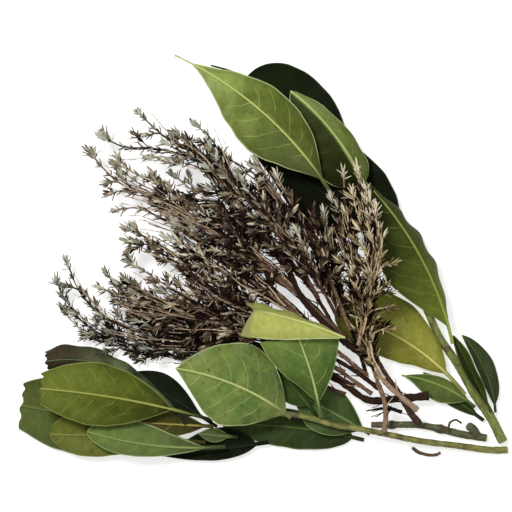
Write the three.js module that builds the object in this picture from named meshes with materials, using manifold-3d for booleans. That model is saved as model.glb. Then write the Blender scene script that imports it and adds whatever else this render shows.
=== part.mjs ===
// A bouquet garni lying on a worktop: three cut bay stems that come together at the right-hand end, and
// a bunch of dried thyme that fans out between them to the left. Millimetres, +Z up, worktop at Z = 0.
// Every stem, every leaf and every thyme sprig is one solid of its own.

import * as THREE from 'three';
import { mergeVertices } from 'three/addons/utils/BufferGeometryUtils.js';
import Module from 'manifold-3d';

// ---- Driving dimensions ----

// The bunch's own origin is moved here, so that it ends up under the middle of the bunch, on the worktop.
const BUNCH_SHIFT = [0.18, 0.49, -0.1];

// A bay leaf: a stalk (petiole) that widens into the blade.
const STALK_WIDTH = 1.8;
const STALK_THICKNESS = 1.5;
const MIDRIB_THICKNESS = 1.0;
const MARGIN_THICKNESS = 0.5;
// How far a folded leaf's faces may lean towards the midrib, as a share of their distance from it.
const FOLD_ROOM = 0.6;
const TIP_WIDTH = 0.7;
const LEAF_STEPS = 60; // short straight steps along the midrib
const LEAF_ROWS = 12; // rows of faces along a leaf

// Bay stems, as [start radius, end radius], from the cut end to the growing end.
const UPPER_STEM_RADII = [2.4, 1.2];
const LOWER_STEM_RADII = [1.7, 1.1];
const BARE_STEM_RADII = [1.9, 1.5];
const STUB_RADII = [2, 2.1];
const DRY_CURL_RADII = [0.6, 0.5];
const DRY_STALK_RADII = [0.9, 0.7];
const STEM_SIDES = 8;
const STEM_STEP = 9; // length of one straight piece of a stem
const DRY_PIECES = 6;

// Thyme: a woody stem that tapers to the tip, with thin side twigs.
const THYME_TIP_RADIUS = 0.45;
const THYME_SIDES = 6;
const THYME_STEP = 12;
const TWIG_RADII = [0.5, 0.4];
const TWIG_SIDES = 5;
const TWIG_PIECES = 3;
const TWIG_ANGLE = 34; // degrees between a twig and its stem

const UP = new THREE.Vector3(0, 0, 1);

// ---- Bay leaves ----
// base: where the stalk meets the stem. heading: direction of the midrib there, anticlockwise from +X;
// bend: how much it has turned at the tip. rise and fall: slope of the midrib at the base and the tip.
// left and right: each half's slope beside the midrib, how much further it curls up by the margin and,
// for an uneven leaf, its share of the half width. widest: place of the widest point along the blade.
// fullness: below 1 rounds the outline, above 1 draws it in towards both ends.
// point: the share of the blade that is drawn out into a fine tip.
// from and cut: the part of the blade that is there. slant: how much shorter a cut leaf is on its right.
// All angles are in degrees.

const LEAF_DEFAULTS = {
  stalk: 8, bend: 0, rise: 0, fall: 0,
  left: [8, 6], right: [8, 6], widest: 0.5, fullness: 0.9, point: 0, from: 0, cut: 1,
  slant: 0, halves: 2,
};

const UPPER_LEAVES = {
  upper_leaf_large: {
    base: [33.5, 29.9, 11.2], heading: 122, bend: 33, rise: 20, fall: -8, length: 94.5, width: 32,
    widest: 0.46, fullness: 1.36, point: 0.08, left: [4, 10, 1.13], right: [10, 14, 0.83],
    colour: 0x7b9148,
  },
  upper_leaf_back: {
    base: [47.7, 29.6, 8.2], heading: 111, bend: 56, rise: -12, fall: 6, length: 92, width: 26,
    widest: 0.68, fullness: 0.55, point: 0.2, left: [2, 4, 0.99], right: [2, 2, 1.27], colour: 0x26351a,
  },
  upper_leaf_folded: {
    base: [50.8, 28.3, 9.8], heading: 110, bend: 32, rise: 28, fall: -20, length: 58, width: 22,
    widest: 0.3, fullness: 0.55, left: [-16, -8, 1.6], right: [-42, -14], colour: 0x56672f,
  },
  upper_leaf_shaded: {
    base: [60.3, 8.1, 8.6], heading: 141, bend: 10, rise: -8, fall: 2, length: 69.5, width: 29,
    stalk: 12, widest: 0.3, fullness: 1.12, left: [6, 8, 1.25], right: [0, 2, 0.85], colour: 0x1d2714,
  },
  upper_leaf_right: {
    base: [90.6, -40.7, 12.5], heading: 103, bend: 32, rise: 10, fall: -4, length: 83, width: 39,
    widest: 0.46, fullness: 1.18, left: [-4, 6, 0.98], right: [-34, -52, 0.6], colour: 0x3c5424,
    halves: 3,
  },
  upper_leaf_olive: {
    base: [96.8, -65.2, 5.6], heading: 128, bend: 40, rise: 8, fall: -4, length: 61, width: 32,
    stalk: 14, widest: 0.62, fullness: 0.5, left: [-14, -16, 0.85], right: [-14, -12, 1.15],
    colour: 0x77802f,
  },
  upper_leaf_upright: {
    base: [109.6, -73.4, 6], heading: 118, bend: -2, rise: 8, fall: 0, length: 37, width: 12.5,
    stalk: 4, widest: 0.55, fullness: 0.63, left: [58, 6, 1.11], right: [52, 6, 0.83], colour: 0x4b5a2a,
  },
  upper_leaf_outer: {
    base: [111.6, -74, 3.2], heading: 94, bend: 38, rise: 2, fall: 0, length: 37, width: 13, stalk: 4,
    widest: 0.47, fullness: 0.7, left: [4, 4, 0.5], right: [-14, -10, 0.89], colour: 0x33431f,
  },
  upper_leaf_low: {
    base: [102.2, -71.2, 3], heading: 140, bend: 34, rise: 0, fall: 0, length: 35, width: 14.5,
    stalk: 4, widest: 0.43, fullness: 1.23, left: [8, 6, 1.13], right: [8, 6, 0.55], colour: 0x4e6b2c,
  },
  upper_leaf_small: {
    base: [106.3, -77.9, 1.3], heading: 144, bend: -5, rise: 0, fall: 0, length: 34, width: 9, stalk: 3,
    widest: 0.52, fullness: 0.89, colour: 0x2f4020,
  },
  upper_leaf_edge: {
    base: [69.5, 7, 6.6], heading: 122, bend: 7, rise: -10, fall: 0, length: 57.5, width: 18.5,
    widest: 0.44, fullness: 0.81, right: [8, 6, 1.06], colour: 0x1f2a16,
  },
};

const LOWER_LEAVES = {
  lower_leaf_large: {
    base: [-23.5, -77.3, 10], heading: 163, bend: 13, rise: 6, fall: 0, length: 65, width: 32.5,
    stalk: 20, cut: 0.87, left: [0, 6, 0.89], right: [-4, -8, 0.94], colour: 0x67803a,
  },
  lower_leaf_curled: {
    base: [-36.8, -79, 8.5], heading: 122, bend: 69, rise: 4, fall: -2, length: 70.5, width: 20.5,
    widest: 0.68, fullness: 0.89, cut: 0.86, left: [-14, -50, 0.6], right: [-14, -46, 0.85],
    colour: 0x3c4a35, halves: 4,
  },
  lower_leaf_grey: {
    base: [-33.8, -82.9, 2.9], heading: 174, bend: -5, rise: -3, fall: 0, length: 75.5, width: 34.5,
    widest: 0.49, fullness: 0.96, cut: 0.81, slant: -0.02, left: [4, 6, 1.07], right: [4, 6, 1.14],
    colour: 0x5d7152,
  },
  lower_leaf_sage: {
    base: [-17.6, -90.1, 8], heading: 184, bend: -21, rise: 4, fall: 0, length: 58.5, width: 18,
    widest: 0.68, fullness: 0.55, left: [6, 8, 0.74], right: [-4, -6, 1.2], colour: 0x8fa076,
  },
  lower_leaf_spotted: {
    base: [-27, -88.4, 5], heading: 174, bend: 6, rise: 0, fall: 0, length: 66.5, width: 24.5,
    widest: 0.68, fullness: 0.55, left: [8, 6, 0.84], right: [2, 2, 1.11], colour: 0x7a7a3c,
  },
  lower_leaf_dark: {
    base: [-21.4, -80.6, 5], heading: 147, bend: 4, rise: -5, fall: 2, length: 41.5, width: 21.5,
    widest: 0.58, left: [2, 2], right: [2, 2, 0.8], colour: 0x222c18,
  },
  lower_leaf_broad: {
    base: [13.5, -75.8, 12], heading: 141, bend: 31, rise: 12, fall: 0, length: 57.5, width: 35,
    stalk: 3, widest: 0.48, fullness: 0.97, left: [-2, 4, 1.15], right: [-2, -8, 1.16],
    colour: 0x6b8640,
  },
  lower_leaf_cut: {
    base: [27.7, -75.6, 11.5], heading: 98, bend: 18, rise: 26, fall: 10, length: 41, width: 40,
    widest: 0.55, fullness: 0.79, cut: 0.59, slant: 0.26, left: [-2, 0, 0.87], right: [-2, 0, 0.99],
    colour: 0x5b7b3a,
  },
  lower_leaf_shaded: {
    base: [25.5, -74.4, 8], heading: 130, bend: -3, rise: 0, fall: 0, length: 23, width: 15, stalk: 6,
    widest: 0.42, fullness: 0.76, left: [2, 4], right: [2, 4], colour: 0x35482a,
  },
  lower_leaf_right: {
    base: [51.7, -84.2, 4], heading: 149, bend: 5, rise: -2, fall: 0, length: 38, width: 24.5, stalk: 4,
    widest: 0.52, fullness: 0.86, right: [8, 6, 0.89], colour: 0x2f4422,
  },
  lower_leaf_under: {
    base: [48.9, -87.2, 2], heading: 166, bend: 16, rise: -1, fall: 0, length: 62.5, width: 18,
    stalk: 6, widest: 0.44, fullness: 0.6, left: [2, 2, 1.12], colour: 0x263419,
  },
  lower_leaf_strip: {
    base: [-11.5, -85.7, 5.1], heading: 175, rise: 0, fall: 0, length: 15, width: 7, stalk: 4,
    left: [2, 2], right: [2, 2], colour: 0x93a06b,
  },
  lower_leaf_bottom: {
    base: [3, -88.6, 3.9], heading: 188, bend: -2, rise: -2.4, fall: 0, length: 45, width: 14, stalk: 6,
    widest: 0.38, left: [3, 3, 0.72], right: [1, 1, 1.5], colour: 0x1c2614,
  },
  lower_leaf_small: {
    base: [-23, -80.4, 6.6], heading: 177, rise: 0, fall: 0, length: 36, width: 12, stalk: 4,
    colour: 0x8a7f45,
  },
  loose_leaf_folded: {
    base: [-8, -23.6, 27.6], heading: -9, bend: -15, rise: 0, fall: 2, length: 49, width: 26, stalk: 0,
    widest: 0.4, from: 0.35, left: [-56, -20, 0.5], right: [2, 0], colour: 0xa9b65c, halves: 3,
  },
};

// ---- Bay stems, from the cut end to the growing end ----

const UPPER_STEM_ROUTE = [
  [115.5, -88.2, 2.6], [109.2, -75.7, 3], [102.3, -66, 4.5], [92.1, -48.7, 7], [84.8, -38.1, 8.2],
  [79, -25.7, 8.6], [71.3, -9.5, 8.8], [64.8, 5.7, 8.8], [58.1, 17.2, 8.8], [49.6, 24.8, 8.8],
  [41.9, 27.2, 9],
];
const LOWER_STEM_ROUTE = [
  [117.9, -92, 1.8], [109.3, -92, 2], [94.8, -90, 3.5], [75.5, -87.4, 5.5], [61.1, -84.5, 7],
  [46.7, -81.5, 8], [34.8, -79.6, 8.5], [22.9, -76.2, 9], [11, -74.2, 9], [-1.9, -74.6, 8.3],
  [-12, -76.4, 8], [-21.5, -77.4, 7.8],
];
const BARE_STEM_ROUTE = [
  [107.8, -86.3, 2], [94.9, -84.3, 2.2], [85.3, -81.9, 2.5], [74.7, -80, 2.8], [62.2, -79.9, 3],
  [52.2, -79.9, 2.9],
];
const BARE_STEM_STUB = [[103.5, -85.5, 2.5], [101, -82, 5], [98.6, -80, 6.5]];
const DRY_CURL_ROUTE = [[88.9, -83.2, 5], [89.7, -78.7, 7], [92.2, -77.2, 8.2], [95.2, -78.8, 8.2]];
const DRY_STALK_ROUTE = [
  [71.9, -90.8, 1.8], [74.8, -93, 1.3], [80.6, -94.5, 1.1], [83.9, -94.2, 1.3], [85.6, -93.2, 1.6],
];

// ---- Thyme ----
// route: from the cut end to the tip. radius: at the cut end. twigs: side twigs, each as [place along
// the stem from 0 to 1, side (1 left, -1 right), length, rise of its tip].

const THYME = [
  {
    radius: 0.9,
    route: [
      [40, -65, 7], [18.1, -57.3, 6.4], [-10.5, -50.7, 5.2], [-39.2, -47.4, 4], [-60.8, -42.4, 2.8],
      [-77.5, -36.4, 2.6], [-88, -28.7, 4], [-95, -18.1, 6],
    ],
    twigs: [[0.62, -1, 12, 0], [0.8, 1, 9, -1]],
  },
  {
    radius: 2,
    route: [
      [79.6, -65.7, 7.8], [64.3, -67.2, 7.4], [50.5, -67.6, 7.6], [34.8, -57.2, 8.2], [13.4, -49.6, 8],
      [-10.5, -43.9, 7.5], [-34.4, -39.6, 7], [-58.2, -35.3, 6.5], [-75.4, -27.7, 7], [-86.8, -16.2, 8],
      [-92.9, -2.4, 9],
    ],
    twigs: [[0.7, -1, 16, 1], [0.86, -1, 11, 2]],
  },
  {
    radius: 0.9,
    route: [
      [44.2, -60.9, 11.5], [26.6, -51.4, 11], [3.8, -43.8, 10], [-20, -36.7, 9.5], [-41.4, -30.5, 9],
      [-58.1, -22.9, 9.5], [-68.5, -15.2, 10.5], [-74.2, -6.7, 11.5],
    ],
    twigs: [[0.6, -1, 15, 1], [0.78, 1, 9, 0]],
  },
  {
    radius: 1,
    route: [
      [52.2, -64.5, 13.4], [29.9, -49.3, 13.6], [3.8, -38, 13.3], [-22.3, -25.6, 13],
      [-43.7, -14.2, 12.5], [-55.6, -6.6, 13], [-63.6, -1.9, 14],
    ],
    twigs: [[0.55, 1, 15, 0], [0.74, -1, 10, 1]],
  },
  {
    radius: 0.9,
    route: [
      [39.3, -54, 16.5], [13.3, -41.2, 16], [-17.6, -31.8, 14.5], [-43.7, -25.7, 13], [-62.8, -20, 12.5],
      [-77.1, -14.3, 12],
    ],
    twigs: [[0.7, 1, 10, 1]],
  },
  {
    radius: 1.1,
    route: [
      [55.5, -62, 12.2], [41.7, -52.1, 15.5], [18, -38.8, 17.5], [-10.4, -21.8, 17], [-34.1, -3.8, 15.5],
      [-50.7, 7.6, 14.5], [-64.5, 14.2, 14],
    ],
    twigs: [[0.6, 1, 14, 0], [0.8, 1, 10, 0]],
  },
  {
    radius: 1,
    route: [
      [50, -55.5, 17.4], [41.6, -49.1, 18.4], [17.9, -28.3, 19.3], [-5.7, -10.4, 19], [-26.9, 5.7, 18],
      [-45.9, 18, 16.6], [-60.1, 23.7, 15.2], [-69.2, 22.8, 14.4],
    ],
    twigs: [[0.55, 1, 14, 0], [0.75, -1, 12, 1]],
  },
  {
    radius: 1.4,
    route: [
      [51, -49.5, 15.8], [42.5, -40.6, 17.9], [17.9, -17.9, 20.5], [-5.7, 1.9, 20.2], [-29.3, 17, 19],
      [-50.6, 28.4, 17.5], [-67.3, 35.5, 16], [-75.4, 42.7, 15], [-82.1, 50.8, 14],
    ],
    twigs: [[0.7, -1, 16, 1], [0.84, 1, 10, 0]],
  },
  {
    radius: 1.5,
    route: [
      [47, -45.6, 20.3], [34.4, -35.8, 21.4], [19.3, -19.8, 25], [12.7, -6.1, 26], [1.4, 8.5, 24.5],
      [-12.7, 25, 22], [-26.9, 44, 19], [-38.8, 49.2, 17.5], [-53, 52.1, 16], [-64.9, 52.6, 15],
      [-75.9, 57.4, 14],
    ],
    twigs: [[0.5, 1, 15, 0], [0.86, -1, 9, 1]],
  },
  {
    radius: 0.8,
    route: [
      [10.8, -1.9, 29], [0, 13.2, 27.5], [-12.7, 28.2, 25], [-26.9, 45.3, 22], [-38.7, 52.9, 20],
      [-48.2, 59.1, 19], [-53, 63.4, 18], [-58.3, 68.7, 17],
    ],
    twigs: [[0.4, 1, 12, 0]],
  },
  {
    radius: 0.9,
    route: [
      [26.3, -18.8, 29], [13.1, 3.8, 30], [0, 21.1, 28], [-11.3, 34.4, 25.5], [-18.9, 46.2, 22],
      [-23.6, 55.7, 20], [-31.7, 63.4, 18],
    ],
    twigs: [[0.22, 1, 14, 5], [0.5, -1, 12, 3], [0.85, 1, 8, 0]],
  },
  {
    radius: 1,
    route: [
      [41.4, -33.8, 27], [31.9, -10.3, 27], [20.2, 13.2, 25], [9.9, 24, 23], [-1.9, 38.3, 20],
      [-10.4, 44, 18], [-17.1, 47.4, 16],
    ],
    twigs: [[0.4, -1, 13, -2], [0.62, 1, 12, 0]],
  },
  {
    radius: 1,
    route: [
      [39.3, -41.2, 16], [22.7, -14.2, 17.5], [3.8, 6.6, 17], [-9, 12.3, 16.5], [-21.3, 26.1, 15.5],
      [-34.2, 27.5, 15], [-48.4, 36.3, 14],
    ],
    twigs: [[0.5, -1, 14, -1]],
  },
  {
    radius: 0.9,
    route: [
      [36.5, -30, 29.4], [22.9, -5.6, 31.5], [10.3, 12.2, 29.5], [0, 25.4, 26.5], [-7.1, 33.9, 23.5],
    ],
    twigs: [[0.2, -1, 13, 5], [0.45, 1, 12, 4], [0.62, -1, 11, 1]],
  },
  {
    radius: 1.6,
    route: [
      [74.9, -79.1, 8], [70.4, -73.3, 10.5], [64.5, -63.5, 14.5], [57.7, -53.9, 17], [52, -42.5, 18.5],
      [47.2, -24.5, 20], [41.5, -3.3, 21], [35.8, 15.6, 21], [32.6, 28.3, 20.5],
    ],
    twigs: [[0.72, 1, 11, 0]],
  },
  {
    radius: 1.3,
    route: [
      [58, -82.8, 11], [58.9, -76.1, 11.5], [57.9, -67.4, 13.5], [54.4, -57.7, 17], [50.5, -43.4, 21],
      [46.6, -19.8, 24], [42.8, 3.8, 25.5], [39.5, 24.9, 25], [38.1, 40.5, 24],
    ],
    twigs: [[0.6, 1, 12, 0], [0.85, -1, 8, 0]],
  },
  {
    radius: 1.4,
    route: [
      [73.5, -72.1, 14.5], [64.3, -64.3, 18.5], [55.6, -55.6, 21.5], [49.8, -40.9, 25], [51.6, -19.7, 28],
      [50.6, 3.7, 29], [46.9, 24.8, 28], [44.6, 42.3, 26],
    ],
    twigs: [[0.5, -1, 13, 5], [0.66, 1, 12, 4], [0.84, 1, 10, 1]],
  },
  {
    radius: 0.9,
    route: [
      [49.3, -54.1, 13.4], [42.6, -35, 15.6], [36.9, -15.1, 17.6], [32.1, 3.8, 18.2], [29.3, 20.8, 18],
    ],
    twigs: [[0.7, 1, 10, 0]],
  },
  {
    radius: 0.9,
    route: [
      [45, -40.8, 29], [49.5, -19.6, 31.5], [53.3, 3.7, 32], [52.4, 16.8, 31], [50.1, 29, 30],
    ],
    twigs: [[0.25, 1, 12, 5], [0.48, -1, 11, 4], [0.66, 1, 10, 3]],
  },
  {
    radius: 0.8,
    route: [
      [36.5, -28, 22.3], [32, -15.1, 22.8], [26.4, -1.9, 22.5], [22.2, 9.4, 21.5],
    ],
    twigs: [[0.6, 1, 9, 0]],
  },
  {
    radius: 1,
    route: [
      [66.7, -73.4, 8.5], [58.6, -71.4, 9.2], [49.6, -72.9, 8.5],
    ],
    twigs: [],
  },
];

// ---- Geometry ----

const radians = THREE.MathUtils.degToRad;

// The blade's width at q, from 0 at the blade's base to 1 at its tip, as a share of the widest.
function outline(q, { widest, fullness, point }) {
  const skew = Math.log(0.5) / Math.log(widest);
  const along = Math.min(1, q / (1 - point));
  return Math.pow(Math.max(0, Math.sin(Math.PI * Math.pow(along, skew))), fullness);
}

// Half width and thickness of a leaf at share s of its whole length, stalk and blade.
function leafSection(leaf, s) {
  const stalkShare = leaf.stalk / (leaf.stalk + leaf.length);
  const onBlade = Math.max(0, s - stalkShare) / (1 - stalkShare);
  const q = leaf.from + onBlade * (leaf.cut - leaf.from);
  const least = THREE.MathUtils.lerp(STALK_WIDTH, TIP_WIDTH, onBlade) / 2;
  const halfWidth = Math.max(least, (leaf.width / 2) * outline(q, leaf));
  const spine = THREE.MathUtils.lerp(STALK_THICKNESS, MIDRIB_THICKNESS, Math.min(1, onBlade * 3));
  const spread = Math.min(1, (halfWidth - least) / STALK_WIDTH);
  return { halfWidth, spine, margin: THREE.MathUtils.lerp(spine, MARGIN_THICKNESS, spread) };
}

// Walks along the midrib to share s of the whole length and returns the place and directions there.
function midribAt(leaf, s) {
  const place = new THREE.Vector3(...leaf.base);
  const along = new THREE.Vector3();
  const stride = ((leaf.stalk + leaf.length) * s) / LEAF_STEPS;
  const heading = (t) => radians(leaf.heading + leaf.bend * t);
  const aim = (t) => {
    const slope = radians(THREE.MathUtils.lerp(leaf.rise, leaf.fall, t));
    along.set(Math.cos(heading(t)), Math.sin(heading(t)), 0).multiplyScalar(Math.cos(slope));
    along.z = Math.sin(slope);
  };
  for (let i = 0; i < LEAF_STEPS; i += 1) {
    aim((s * (i + 0.5)) / LEAF_STEPS);
    place.addScaledVector(along, stride);
  }
  aim(s);
  const left = new THREE.Vector3(-Math.sin(heading(s)), Math.cos(heading(s)), 0);
  const up = new THREE.Vector3().crossVectors(along, left);
  return { place, left, up };
}

// Offset from the midrib at share v of a half's width, for a half that starts at a slope and curls on.
function acrossHalf([slopeDegrees, curlDegrees, share = 1], v) {
  const slope = radians(slopeDegrees);
  const curl = radians(curlDegrees);
  if (Math.abs(curl) < 1e-3) {
    return { out: share * v * Math.cos(slope), rise: share * v * Math.sin(slope), slope };
  }
  return {
    out: (share * (Math.sin(slope + curl * v) - Math.sin(slope))) / curl,
    rise: (share * (Math.cos(slope) - Math.cos(slope + curl * v))) / curl,
    slope: slope + curl * v,
  };
}

// The upper and lower point of the leaf; t runs from 0 at the base to 1 at the far end, and v from -1 at
// the right margin to 1 at the left.
function leafPoints(leaf, t, v) {
  const s = t * (1 - (leaf.slant * (1 - v)) / 2);
  const { place, left, up } = midribAt(leaf, s);
  const { halfWidth, spine, margin } = leafSection(leaf, s);
  const half = acrossHalf(v < 0 ? leaf.right : leaf.left, Math.abs(v));
  const side = Math.sign(v);
  const middle = place.clone()
    .addScaledVector(left, side * half.out * halfWidth)
    .addScaledVector(up, half.rise * halfWidth);
  // Each face is half the thickness from the middle, but never so far sideways that it meets the midrib.
  const reach = THREE.MathUtils.lerp(spine, margin, Math.abs(v)) / 2;
  const [firstSlope] = v < 0 ? leaf.right : leaf.left;
  const room = FOLD_ROOM * Math.abs(v) * halfWidth * Math.cos(radians(firstSlope));
  const lean = THREE.MathUtils.clamp(Math.sin(half.slope) * reach, -room, room);
  const lift = Math.sign(Math.cos(half.slope)) * Math.sqrt(reach * reach - lean * lean);
  return [
    middle.clone().addScaledVector(up, lift).addScaledVector(left, -side * lean),
    middle.clone().addScaledVector(up, -lift).addScaledVector(left, side * lean),
  ];
}

function bayLeaf(settings) {
  const leaf = { ...LEAF_DEFAULTS, ...settings };
  const columns = 2 * leaf.halves;
  const positions = [];
  for (let row = 0; row <= LEAF_ROWS; row += 1) {
    for (let column = 0; column <= columns; column += 1) {
      const [upper, lower] = leafPoints(leaf, row / LEAF_ROWS, (2 * column) / columns - 1);
      positions.push(...upper, ...lower);
    }
  }
  const upperAt = (row, column) => 2 * (row * (columns + 1) + column);
  const lowerAt = (row, column) => upperAt(row, column) + 1;
  const last = LEAF_ROWS;
  const faces = [];
  const quad = (a, b, c, d) => faces.push(a, b, c, a, c, d);
  for (let row = 0; row < LEAF_ROWS; row += 1) {
    for (let column = 0; column < columns; column += 1) {
      const next = [row + 1, column + 1];
      quad(upperAt(row, column), upperAt(row + 1, column), upperAt(...next), upperAt(row, column + 1));
      quad(lowerAt(row, column + 1), lowerAt(...next), lowerAt(row + 1, column), lowerAt(row, column));
    }
    quad(lowerAt(row, 0), lowerAt(row + 1, 0), upperAt(row + 1, 0), upperAt(row, 0));
    const end = [row + 1, columns];
    quad(lowerAt(...end), lowerAt(row, columns), upperAt(row, columns), upperAt(...end));
  }
  for (let column = 0; column < columns; column += 1) {
    quad(lowerAt(0, column + 1), lowerAt(0, column), upperAt(0, column), upperAt(0, column + 1));
    const next = [last, column + 1];
    quad(lowerAt(last, column), lowerAt(...next), upperAt(...next), upperAt(last, column));
  }
  const geometry = new THREE.BufferGeometry();
  geometry.setAttribute('position', new THREE.Float32BufferAttribute(positions, 3));
  geometry.setIndex(faces);
  return geometry;
}

// A round stem along a smooth curve, tapering from one radius to the other and closed at both ends.
function taperedStem(curve, pieces, sides, [startRadius, endRadius]) {
  const frames = curve.computeFrenetFrames(pieces);
  const positions = [];
  for (let ring = 0; ring <= pieces; ring += 1) {
    const centre = curve.getPointAt(ring / pieces);
    const radius = THREE.MathUtils.lerp(startRadius, endRadius, ring / pieces);
    for (let side = 0; side < sides; side += 1) {
      const angle = (2 * Math.PI * side) / sides;
      const point = centre.clone()
        .addScaledVector(frames.normals[ring], radius * Math.cos(angle))
        .addScaledVector(frames.binormals[ring], radius * Math.sin(angle));
      positions.push(...point);
    }
  }
  const startCentre = positions.length / 3;
  positions.push(...curve.getPointAt(0), ...curve.getPointAt(1));
  const at = (ring, side) => ring * sides + (side % sides);
  const faces = [];
  for (let side = 0; side < sides; side += 1) {
    for (let ring = 0; ring < pieces; ring += 1) {
      faces.push(at(ring, side), at(ring, side + 1), at(ring + 1, side + 1));
      faces.push(at(ring, side), at(ring + 1, side + 1), at(ring + 1, side));
    }
    faces.push(startCentre, at(0, side + 1), at(0, side));
    faces.push(startCentre + 1, at(pieces, side), at(pieces, side + 1));
  }
  const geometry = new THREE.BufferGeometry();
  geometry.setAttribute('position', new THREE.Float32BufferAttribute(positions, 3));
  geometry.setIndex(faces);
  return geometry;
}

function smoothCurve(route) {
  return new THREE.CatmullRomCurve3(route.map((point) => new THREE.Vector3(...point)));
}

function bayStem(route, radii) {
  const curve = smoothCurve(route);
  return taperedStem(curve, Math.round(curve.getLength() / STEM_STEP), STEM_SIDES, radii);
}

function dryPiece(route, radii) {
  return taperedStem(smoothCurve(route), DRY_PIECES, STEM_SIDES, radii);
}

// ---- Joining with manifold-3d ----

const wasm = await Module();
wasm.setup();

function toSolid(geometry) {
  const merged = mergeVertices(geometry);
  return new wasm.Manifold(new wasm.Mesh({
    numProp: 3,
    vertProperties: merged.attributes.position.array,
    triVerts: new Uint32Array(merged.index.array),
  }));
}

function toGeometry(solid) {
  const { vertProperties, triVerts } = solid.getMesh();
  const geometry = new THREE.BufferGeometry();
  geometry.setAttribute('position', new THREE.BufferAttribute(vertProperties, 3));
  geometry.setIndex(new THREE.BufferAttribute(triVerts, 1));
  return geometry;
}

// The bare stem carries a short stub where a side shoot was cut off.
function bareStem() {
  const stub = taperedStem(smoothCurve(BARE_STEM_STUB), 3, STEM_SIDES, STUB_RADII);
  return toGeometry(toSolid(bayStem(BARE_STEM_ROUTE, BARE_STEM_RADII)).add(toSolid(stub)));
}

// A twig leaves its stem at an angle and then leans back along it.
function twigCurve(stem, [place, side, length, rise]) {
  const start = stem.getPointAt(place);
  const ahead = stem.getTangentAt(place);
  const outwards = ahead.clone().applyAxisAngle(UP, side * radians(TWIG_ANGLE));
  const middle = start.clone().addScaledVector(outwards, length / 2);
  const tip = middle.clone().addScaledVector(ahead.add(outwards).normalize(), length / 2);
  middle.z += rise / 2;
  tip.z += rise;
  return new THREE.CatmullRomCurve3([start, middle, tip]);
}

function thymeSprig({ route, radius, twigs }) {
  const curve = smoothCurve(route);
  const pieces = Math.round(curve.getLength() / THYME_STEP);
  let solid = toSolid(taperedStem(curve, pieces, THYME_SIDES, [radius, THYME_TIP_RADIUS]));
  for (const twig of twigs) {
    solid = solid.add(toSolid(taperedStem(twigCurve(curve, twig), TWIG_PIECES, TWIG_SIDES, TWIG_RADII)));
  }
  return toGeometry(solid);
}

// ---- Assembly ----

const bunch = new THREE.Group();

function addPiece(name, geometry, colour, roughness) {
  const material = new THREE.MeshStandardMaterial({ color: colour, roughness, metalness: 0 });
  const mesh = new THREE.Mesh(geometry, material);
  mesh.name = name;
  bunch.add(mesh);
}

for (const [name, leaf] of Object.entries({ ...UPPER_LEAVES, ...LOWER_LEAVES })) {
  addPiece(name, bayLeaf(leaf), leaf.colour, 0.55);
}
addPiece('upper_stem', bayStem(UPPER_STEM_ROUTE, UPPER_STEM_RADII), 0x6f6a3a, 0.6);
addPiece('lower_stem', bayStem(LOWER_STEM_ROUTE, LOWER_STEM_RADII), 0x75683f, 0.6);
addPiece('bare_stem', bareStem(), 0x5f5f38, 0.6);
addPiece('dry_curl', dryPiece(DRY_CURL_ROUTE, DRY_CURL_RADII), 0x6b5638, 0.8);
addPiece('dry_stalk', dryPiece(DRY_STALK_ROUTE, DRY_STALK_RADII), 0x5c4028, 0.8);
THYME.forEach((sprig, index) => {
  addPiece(`thyme_sprig_${String(index + 1).padStart(2, '0')}`, thymeSprig(sprig), 0x4a372b, 0.85);
});

bunch.position.set(...BUNCH_SHIFT);

export default bunch;
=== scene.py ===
"""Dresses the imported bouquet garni: bay leaves and stems, and dried thyme, lying on a pale worktop."""

import math
import random
from collections import namedtuple

import bpy
import numpy as np
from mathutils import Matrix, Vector, noise


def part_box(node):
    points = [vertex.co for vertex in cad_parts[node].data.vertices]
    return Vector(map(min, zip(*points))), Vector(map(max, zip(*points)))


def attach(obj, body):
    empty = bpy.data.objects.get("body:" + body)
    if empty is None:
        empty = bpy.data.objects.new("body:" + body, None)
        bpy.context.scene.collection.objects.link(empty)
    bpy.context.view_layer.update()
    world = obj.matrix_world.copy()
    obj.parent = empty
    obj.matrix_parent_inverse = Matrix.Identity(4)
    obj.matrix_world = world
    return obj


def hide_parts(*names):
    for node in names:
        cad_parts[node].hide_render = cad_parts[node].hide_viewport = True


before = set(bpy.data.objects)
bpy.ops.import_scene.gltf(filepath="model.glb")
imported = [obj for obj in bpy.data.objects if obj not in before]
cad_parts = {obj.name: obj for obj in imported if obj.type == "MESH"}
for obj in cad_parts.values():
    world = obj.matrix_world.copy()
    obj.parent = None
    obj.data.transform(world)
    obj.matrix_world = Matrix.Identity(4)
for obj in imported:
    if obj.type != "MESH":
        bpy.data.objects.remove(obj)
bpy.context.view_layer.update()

bl_info = {
    "name": "Bouquet Garni",
    "version": (1, 0, 0),
    "blender": (4, 5, 0),
    "location": "View3D > Sidebar > Bouquet",
    "description": "Bay leaves, bay stems and dried thyme built around the packed solids",
    "category": "Object",
}

# ---- The bunch, with the same values as its solids: millimetres, +Z up, worktop at Z = 0 ----

MM = 0.001
BUNCH_SHIFT = np.array((0.18, 0.49, -0.1))

STALK_WIDTH, STALK_THICKNESS = 1.8, 1.5
MIDRIB_THICKNESS = 1.0
TIP_WIDTH = 0.7

UPPER_STEM_RADII = (2.4, 1.2)
LOWER_STEM_RADII = (1.7, 1.1)
BARE_STEM_RADII = (1.9, 1.5)
STUB_RADII = (2, 2.1)
DRY_CURL_RADII = (0.6, 0.5)
DRY_STALK_RADII = (0.9, 0.7)
THYME_TIP_RADIUS = 0.45
TWIG_ANGLE = 34

# A leaf: base is where its stalk meets the stem; heading, bend, rise and fall turn the midrib, in
# degrees; left and right give each half's slope, its further curl by the margin and its share of the
# half width; start and cut say which part of the blade is there.
LEAF_DEFAULTS = dict(stalk=8, bend=0, rise=0, fall=0, left=(8, 6), right=(8, 6), widest=0.5,
    fullness=0.9, point=0, start=0, cut=1, slant=0)

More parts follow.
